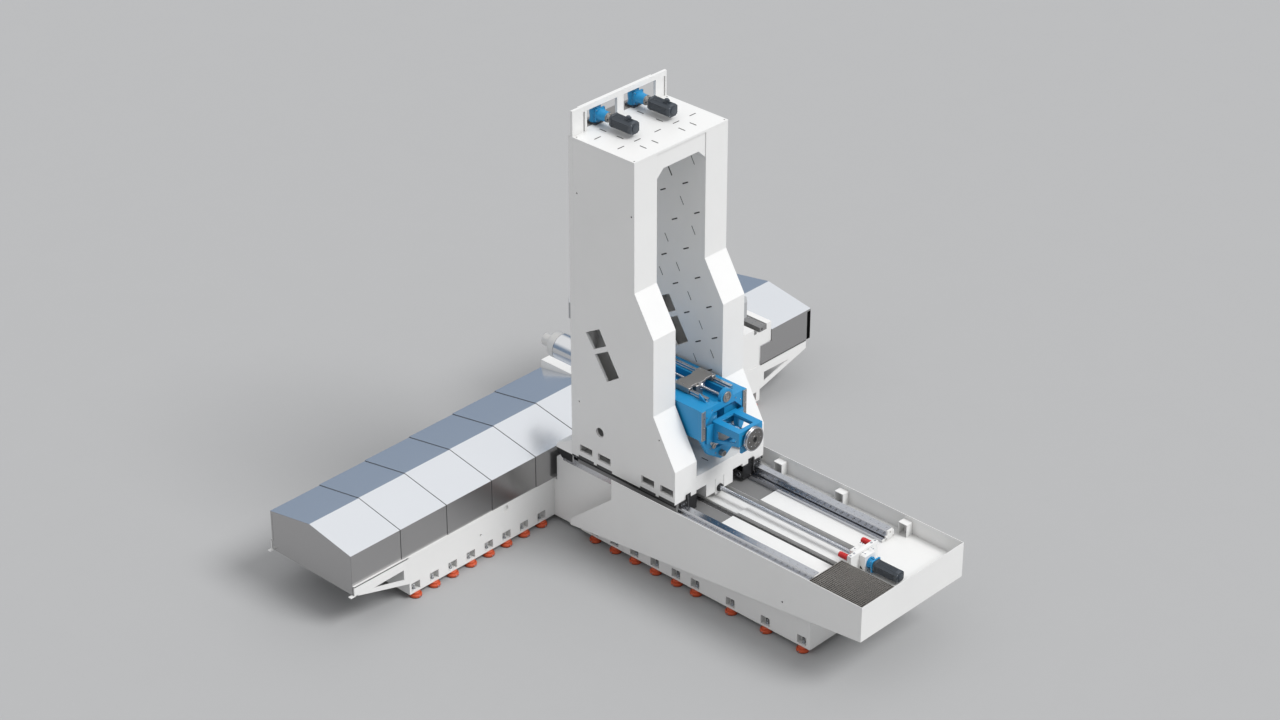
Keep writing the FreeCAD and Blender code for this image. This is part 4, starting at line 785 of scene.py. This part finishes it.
def column_drive():
    """Bolts of the bearing block, black triangles on its sides as painted shade for its recesses, gearbox casting and
    rubber buffers.
    """
    top, face = span("z_drive_block")[1].z, span("z_drive_block")[1].y
    z = SCREW_AXIS
    bolts, black = Build(), Build()
    for x in (-268, -190, 190, 268):
        bolts.hexagon("z", x, -3515, 1470, 17, 12)
    for x in (-85, 85):
        for y in (-3630, -3590, -3440, -3400):
            bolts.cap_screw("z", x, y, top, 11, 8)
    bearing = [(face, 86), (face + 10, 86), (face + 14, 80), (face + 14, 60), (face + 26, 58), (face + 28, 38)]
    bolts.lathe("y", 0, z, bearing, 28)
    bolts.screw_ring("y", 0, z, 72, 8, face + 12, 6, 6, phase=0.5)
    # Painted shade: thin black triangles on the block's sides stand in for the shade in its recesses.
    for side in (-1, 1):
        black.prism([(-3630, 1214), (-3570, 1214), (-3570, 1262)], "x", side * 115, side * 115 + side * 1.5)
    bolts.done("drive_block_bolts", STEEL, "machine_bed", 35)
    black.done("drive_block_recess_shade", RUBBER, "machine_bed")
    lo, hi = span("z_drive_gearbox")
    blue, screws = Build(), Build()
    plate_y = lo.y + 22
    blue.prism(rounded(0, z, (hi.x - lo.x) / 2, 22), "y", lo.y, plate_y, 3)
    casting = [(plate_y, 84), (lo.y + 34, 84), (lo.y + 40, 76), (hi.y - 26, 76), (hi.y - 20, 88), (hi.y, 88)]
    blue.lathe("y", 0, z, casting, 32)
    for w in (0, 90, 180, 270):
        c, s = math.cos(math.radians(w)), math.sin(math.radians(w))
        rib = [(c * 70 - s * 8, z + s * 70 + c * 8), (c * 90 - s * 8, z + s * 90 + c * 8),
               (c * 90 + s * 8, z + s * 90 - c * 8), (c * 70 + s * 8, z + s * 70 - c * 8)]
        blue.prism(rib, "y", plate_y, hi.y - 20)
    for sx, sz in CORNERS:
        screws.cap_screw("y", sx * 80, z + sz * 80, plate_y, 7, 8)
    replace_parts(blue.done("z_gearbox_casting", BLUE, "machine_bed", 35), "z_drive_gearbox")
    screws.done("z_gearbox_screws", STEEL, "machine_bed", 35)
    red, steel = Build(), Build()
    lo, hi = span("z_buffers")
    r = (hi.z - lo.z) / 2
    z = (hi.z + lo.z) / 2
    folds = [(lo.y + 14, r - 8)]
    for k in range(4):
        t = lo.y + 22 + k * 34
        folds += [(t, r - 8), (t + 4, r - 1), (t + 22, r - 1), (t + 26, r - 8)]
    folds += [(hi.y - 24, r - 2), (hi.y - 10, r - 8), (hi.y - 2, r - 22), (hi.y, r - 38)]
    for x in (lo.x + r, hi.x - r):
        steel.lathe("y", x, z, [(lo.y, r), (lo.y + 12, r), (lo.y + 14, r - 3)], 28)
        red.lathe("y", x, z, folds, 28)
    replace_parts(red.done("buffer_rubbers", RED, "machine_bed", 35), "z_buffers")
    steel.done("buffer_plates", STEEL, "machine_bed", 35)


# Headstock: height of the spindle and place of its feed screw
AXIS_Z = (span("spindle_sleeve")[0].z + span("spindle_sleeve")[1].z) / 2
FEED_AXIS_X = (span("w_rails")[0].x + span("w_rails")[1].x) / 2
FEED_AXIS_Z, FEED_BEARING_Z = 2812.0, 2835.0


def tail():
    """Tail of the headstock: turned disc, stepped shaft, ring pads and bolts."""
    lo, hi = span("tail_disc")
    z, y0 = AXIS_Z, lo.y
    r = (hi.x - lo.x) / 2
    dark, rim, shaft, hub = Build(), Build(), Build(), Build()
    face = [(y0 + 24, 20), (y0 + 4, 22), (y0 + 4, 36), (y0, 40), (y0, 58), (y0 + 5, 62), (y0 + 5, 76), (y0 + 1, 80),
            (y0 + 1, r - 22), (y0 + 8, r - 18), (y0 + 52, r - 18), (y0 + 60, r - 60), (y0 + 60, 100), (y0 + 90, 100)]
    dark.lathe("y", 0, z, face, 40)
    hub.tube("y", 0, z, y0 - 0.4, y0 + 3, 21, 44, 0.3)
    hub.done("tail_hub", RUBBER, "headstock", 35)
    rim.tube("y", 0, z, y0 + 3, y0 + 26, r - 20, r, 5)
    rim.tube("y", 0, z, y0 + 32, y0 + 58, r - 20, r, 4)
    rim.screw_ring("y", 0, z, 118, 8, y0 + 1, 9, 3, -1)
    stepped = [(-1346, 62), (-1340, 68), (-1290, 68), (-1286, 56), (-1180, 56), (-1176, 68), (-1100, 68), (-1096, 60),
               (-1010, 60), (-1006, 70), (-930, 70), (-926, 64), (-800, 64)]
    shaft.lathe("y", 0, z, stepped, 32)
    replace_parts(dark.done("tail_disc_body", DARKSTEEL, "headstock", 35), "tail_disc")
    rim.done("tail_disc_rims", STEEL, "headstock", 35)
    shaft.done("tail_shaft", CHROME, "headstock", 35)
    pads, bolts = Build(), Build()
    ring_y = span("end_ring")[0].y
    for side in (-1, 1):
        pads.side_box(side, 400.5, 476, ring_y - 1.5, ring_y + 13.5, 2312, 2799, 2)
        for zb in places(2340, 2770, 86):
            bolts.cap_screw("y", side * 438, zb, ring_y - 1.5, 10, 5, -1)
    for side in (-1, 1):
        for x, zb in ((300, 2110), (180, 1990), (400, 2250)):
            bolts.cap_screw("y", side * x * 0.93, zb, ring_y + 14, 11, 8, -1)
        for x, zb in ((250, 2740), (360, 2660)):
            bolts.cap_screw("y", side * x, zb, ring_y + 14, 10, 7, -1)
    for sx, sz in ((-1, 1), (1, 1), (-1, -1), (1, -1)):
        bolts.hexagon("y", sx * 168, z + 12 + sz * 80, -1380, 11, 7, -1)
    pads.done("end_ring_pads", PLATE, "headstock")
    bolts.done("end_ring_bolts", STEEL, "headstock", 35)


def spindle_feed():
    """Feed of the spindle: screw, bearings, rails and the carriage casting."""
    x, z, zb = FEED_AXIS_X, FEED_AXIS_Z, FEED_BEARING_Z
    screw, caps = Build(), Build()
    screw.thread("y", x, z, -830, span("w_screw")[1].y, 24, 20.5, 20.0, 14)
    bearing = [(-860, 84), (-871, 84), (-874, 81), (-874, 62), (-866, 60), (-866, 40), (-872, 38), (-872, 22),
               (-868, 20)]
    caps.lathe("y", x, zb, bearing, 32)
    caps.screw_ring("y", x, zb, 72, 6, -873, 6, 5, -1)
    caps.hexagon("y", x, z, -866, 18, 10, -1)
    caps.lathe("y", -50, 1950, [(-860, 46), (-926, 46), (-930, 42), (-930, 30), (-918, 28), (-918, 14), (-930, 13)], 28)
    caps.lathe("y", -215, 2130, [(-862, 40), (-880, 40), (-884, 36), (-884, 20), (-876, 18)], 24)
    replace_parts(screw.done("w_screw_thread", STEEL, "headstock", 40), "w_screw")
    caps.done("w_screw_bearings", PLATE, "headstock", 35)
    rlo, rhi = span("w_rails")
    rail, waist = 26, 19
    rail_x = (rlo.x + rail, rhi.x - rail)
    rails, plugs = Build(), Build()
    right = [(rail, rlo.z), (rail, rlo.z + 16), (waist, rlo.z + 24), (waist, rlo.z + 38), (rail, rlo.z + 46),
             (rail, rhi.z - 3), (rail - 3, rhi.z)]
    for xc in rail_x:
        outline = [(xc - rail, rlo.z)] + [(xc + p, q) for p, q in right] + [(xc - p, q) for p, q in right[:0:-1]]
        rails.prism(outline, "y", rlo.y, rhi.y)
        for y in places(rlo.y, rhi.y, 105, 30):
            plugs.lathe("z", xc, y, [(rhi.z, 9), (rhi.z + 0.2, 9)], 12)
    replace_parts(rails.done("w_rail_profiles", STEEL, "headstock"), "w_rails")
    plugs.done("w_rail_plugs", DARKSTEEL, "headstock")
    clo, chi = span("feed_carriage")
    body, bits = Build(), Build()
    ya, yb, top = clo.y, chi.y, chi.z
    for xc in rail_x:
        x0, x1 = max(xc - 44, clo.x), min(xc + 44, chi.x)
        body.box(x0, x1, ya, yb, top - 36, top - 4, 5)
        for a, b in ((x0, xc - 29), (xc + 29, x1)):
            body.box(a, b, ya, yb, top - 92, top - 30, 4)
        for y in (ya + 30, (ya + yb) / 2, yb - 30):
            bits.cap_screw("z", xc, y, top - 4, 10, 4)
    x0, x1 = rlo.x + 60, rhi.x - 60
    plan = [(x0, ya + 26), (x - 84, ya + 26), (x - 70, ya + 4), (x + 70, ya + 4), (x + 84, ya + 26), (x1, ya + 26),
            (x1, yb - 18), (x + 96, yb - 18), (x + 78, yb - 44), (x - 78, yb - 44), (x - 96, yb - 18), (x0, yb - 18)]
    body.prism(plan, "z", top - 40, top, 5)
    body.box(-70, 70, ya, ya + 120, AXIS_Z + 60, top - 30, 6)
    body.tube("y", 0, AXIS_Z, ya + 2, ya + 118, 66.5, 128, 6, 36)
    nut = [(ya + 4, 26), (ya + 4, 58), (ya - 6, 58), (ya - 10, 54), (ya - 10, 36), (ya - 24, 34), (ya - 26, 26)]
    bits.lathe("y", x, z, nut, 28)
    bits.screw_ring("y", x, z, 47, 6, ya - 8, 6, 5, -1, 0.5)
    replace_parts(body.done("carriage_casting", PLATE, "feed_carriage", 35), "feed_carriage")
    bits.done("carriage_nut", STEEL, "feed_carriage", 35)


def spindle_and_sleeve():
    """Spindle with a round nose, and its sleeve in two finishes."""
    z = AXIS_Z
    nose, keys = Build(), Build()
    y0, y1 = span("feed_carriage")[0].y, span("boring_spindle")[1].y
    shoulder = y0 + 122
    profile = [(y0 - 6, 40), (y0 - 4, 60), (y0 + 4, 65.6), (shoulder, 65.6), (shoulder, 96), (shoulder + 6, 102.5)]
    profile += round_over(y1, 77, 26, 6)
    profile += [(y1, 46), (y1 - 4, 42), (y1 - 110, 26), (y1 - 128, 24)]
    nose.lathe("y", 0, z, profile, 48)
    for side in (-1, 1):
        keys.box(side * 60 - 12, side * 60 + 12, y1 - 1.4, y1 - 0.2, z - 9, z + 9, 0.3)
    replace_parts(nose.done("spindle_quill", QUILL, "boring_spindle", 35), "boring_spindle")
    keys.done("spindle_keys", STEEL, "boring_spindle")
    chrome, seam, front, bolts = Build(), Build(), Build(), Build()
    y0, y1 = span("spindle_sleeve")[0].y, span("spindle_sleeve")[1].y
    bore, seam_y, flange_y = 103.3, 2425.0, y0 + 60
    seam_y0, seam_y1 = seam_y - 3, seam_y + 3
    chrome.tube("y", 0, z, y0, flange_y, bore, 226, 3, 56)
    chrome.tube("y", 0, z, flange_y, seam_y0, bore, 206, 1, 56)
    seam.tube("y", 0, z, seam_y0, seam_y1, bore, 202.5, 0.3, 56)
    profile = [(seam_y1, bore), (seam_y1, 205), (seam_y1 + 1, 206)] + round_over(y1, 184, 22, 5)
    profile += [(y1, 122), (y1 - 5, 118), (y1 - 5, bore), (seam_y1, bore)]
    front.lathe("y", 0, z, profile, 56, cap=False)
    bolts.screw_ring("y", 0, z, 216, 12, flange_y, 6, 5)
    bolts.screw_ring("y", 0, z, 152, 8, y1 - 3, 9, 2.8, phase=0.5)
    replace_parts(chrome.done("sleeve_barrel", CHROME, "headstock", 35), "spindle_sleeve")
    seam.done("sleeve_seam", RUBBER, "headstock", 35)
    front.done("sleeve_front", QUILL, "headstock", 35)
    bolts.done("sleeve_bolts", STEEL, "headstock", 35)


def table_details():
    """Saddle and table: guide bar screws, black discs as painted shade for the hole in each bar end, base bolts and two
    wiper rings.
    """
    lo, hi = span("saddle_guide_bars")
    screws, hole_shade, rubber = Build(), Build(), Build()
    for y in places(lo.y, hi.y, 140, 60):
        screws.cap_screw("z", 3838, y, hi.z, 11, 6)
        screws.cap_screw("z", 3918, y, hi.z, 11, 6)
        screws.cap_screw("z", 3690, y, 1381, 8, 5)
    # Painted shade: a thin black disc stands for the shade inside each bar-end hole.
    for y, way in ((lo.y, -1), (hi.y, 1)):
        hole_shade.lathe("y", 3846, 1378, [(y, 17), (y + way * 0.8, 17)], 20)
    lo, hi = span("turntable_base")
    xc, yc = (lo.x + hi.x) / 2, (lo.y + hi.y) / 2
    ledge_z = hi.z - 150
    screws.screw_ring("z", xc, yc, 826, 36, ledge_z, 11, 8)
    rubber.tube("z", xc, yc, ledge_z, ledge_z + 14, 778, 796, 3, 96)
    rubber.tube("z", xc, yc, hi.z - 14, hi.z - 1, 778, 792, 3, 96)
    screws.done("table_screws", STEEL, "saddle", 35)
    hole_shade.done("guide_bar_hole_shade", RUBBER, "saddle")
    rubber.done("table_wipers", RUBBER, "saddle", 35)


def pallet_plate():
    """The pallet at its measured length, with seven T-slots and cut corners."""
    lo, hi = span("pallet")
    part = Build()
    xc, yc = (lo.x + hi.x) / 2, (lo.y + hi.y) / 2
    half, corner, pitch = 1022.0, 100.0, 240.0
    half_slot = ((14, hi.z), (14, hi.z - 26), (26, hi.z - 26), (26, hi.z - 48))
    slots = []
    for i in range(3, -4, -1):
        y = yc + i * pitch
        slots += [(y + w, z) for w, z in half_slot]
        slots += [(y - w, z) for w, z in half_slot[::-1]]
    rings = []
    for x, cut in ((xc - half, corner), (xc - half + corner, 0), (xc + half - corner, 0), (xc + half, corner)):
        a, b = lo.y + cut, hi.y - cut
        ring = [(a, lo.z), (b, lo.z), (b, hi.z - 6), (b - 6, hi.z)] + slots + [(a + 6, hi.z), (a, hi.z - 6)]
        rings.append([(x, y, z) for y, z in ring])
    part.loops(rings)
    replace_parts(part.done("pallet_plate", CAST, "pallet"), "pallet")


def working_side():
    """Rail screws, screw bearings and the clamp plates on the headstock's wings."""
    lo, hi = span("y_rails")
    screws, plates, bolts = Build(), Build(), Build()
    for side in (-1, 1):
        for z in places(lo.z, hi.z, 120, 40):
            screws.cap_screw("y", side * 670, z, hi.y, 10, 5)
    screw_y, wing_y0, wing_y1 = 1305, 1460, 1476
    for x in (-390, 390):
        for z, way in ((1704, 1), (6578, -1)):
            bearing = [(z, 62), (z + way * 22, 62), (z + way * 26, 56), (z + way * 26, 34)]
            screws.lathe("z", x, screw_y, bearing, 24)
            screws.screw_ring("z", x, screw_y, 50, 6, z + way * 25, 6, 5, way)
    screws.done("rail_screws", STEEL, "column", 35)
    for side in (-1, 1):
        for z0, z1 in ((1940, 2120), (2560, 2760)):
            plates.side_box(side, 590, 750, wing_y0, wing_y1, z0, z1, 4)
            for x in (610, 730):
                for z in (z0 + 25, z1 - 25):
                    bolts.cap_screw("y", side * x, z, wing_y1, 10, 7)
    plates.done("wing_plates", PLATE, "headstock")
    bolts.done("wing_bolts", STEEL, "headstock", 35)


for make in (levelling_mounts, pocket_studs, ball_screws, motors, gearboxes, grating, weld_slots, bracket_arms,
             cover_details, column_feet, column_bed, column_drive, tail, spindle_feed, spindle_and_sleeve,
             table_details, pallet_plate, working_side):
    make()

# Floor, lamp, sky and camera
bpy.ops.mesh.primitive_plane_add(size=400, location=(0, 0, 0))
floor = bpy.context.object
floor.name = "studio_floor"
floor.data.materials.append(look("studio_floor", (0.40, 0.403, 0.406), 0.75, vary=0.01, grain=8, bump=0.0))

sun_data = bpy.data.lights.new("key", "SUN")
sun_data.energy = 2.1
sun_data.angle = math.radians(25)
sun = bpy.data.objects.new("key", sun_data)
bpy.context.scene.collection.objects.link(sun)
sun.rotation_euler = Vector((0.25, -0.72, 0.90)).to_track_quat("Z", "Y").to_euler()

world = bpy.data.worlds.new("studio")
bpy.context.scene.world = world
world.use_nodes = True
fill, add, mix = graph(world.node_tree)
height = add("SeparateXYZ", Vector=add("TexCoord").outputs["Generated"]).outputs["Z"]


def sky(low_z, low, high_z, high):
    """Colour by height above the horizon."""
    ramp = add("ValToRGB", Fac=height)
    for stop, z, color in zip(ramp.color_ramp.elements, (low_z, high_z), (low, high)):
        stop.position = z
        stop.color = (*color, 1)
    return ramp.outputs["Color"]


# Metal sees a dim horizon under a bright ceiling
plain = sky(0.12, (0.52, 0.52, 0.53), 0.62, (0.80, 0.80, 0.81))
mirrored = sky(0.30, (0.22, 0.29, 0.39), 0.60, (1.0, 1.0, 1.0))
seen = mix(add("LightPath").outputs["Is Glossy Ray"], plain, mirrored)
fill(world.node_tree.nodes["Background"], {"Color": seen, "Strength": 0.95})

cam_data = bpy.data.cameras.new("photo_camera")
cam_data.lens = CAM_LENS
cam_data.sensor_width = CAM_SENSOR
cam_data.clip_end = 500
cam = bpy.data.objects.new("photo_camera", cam_data)
bpy.context.scene.collection.objects.link(cam)
cam.location = CAM_POS
cam.rotation_euler = (math.radians(90 - CAM_EL), 0, math.radians(-CAM_AZ))
bpy.context.scene.camera = cam
bpy.context.scene.view_settings.view_transform = "Standard"
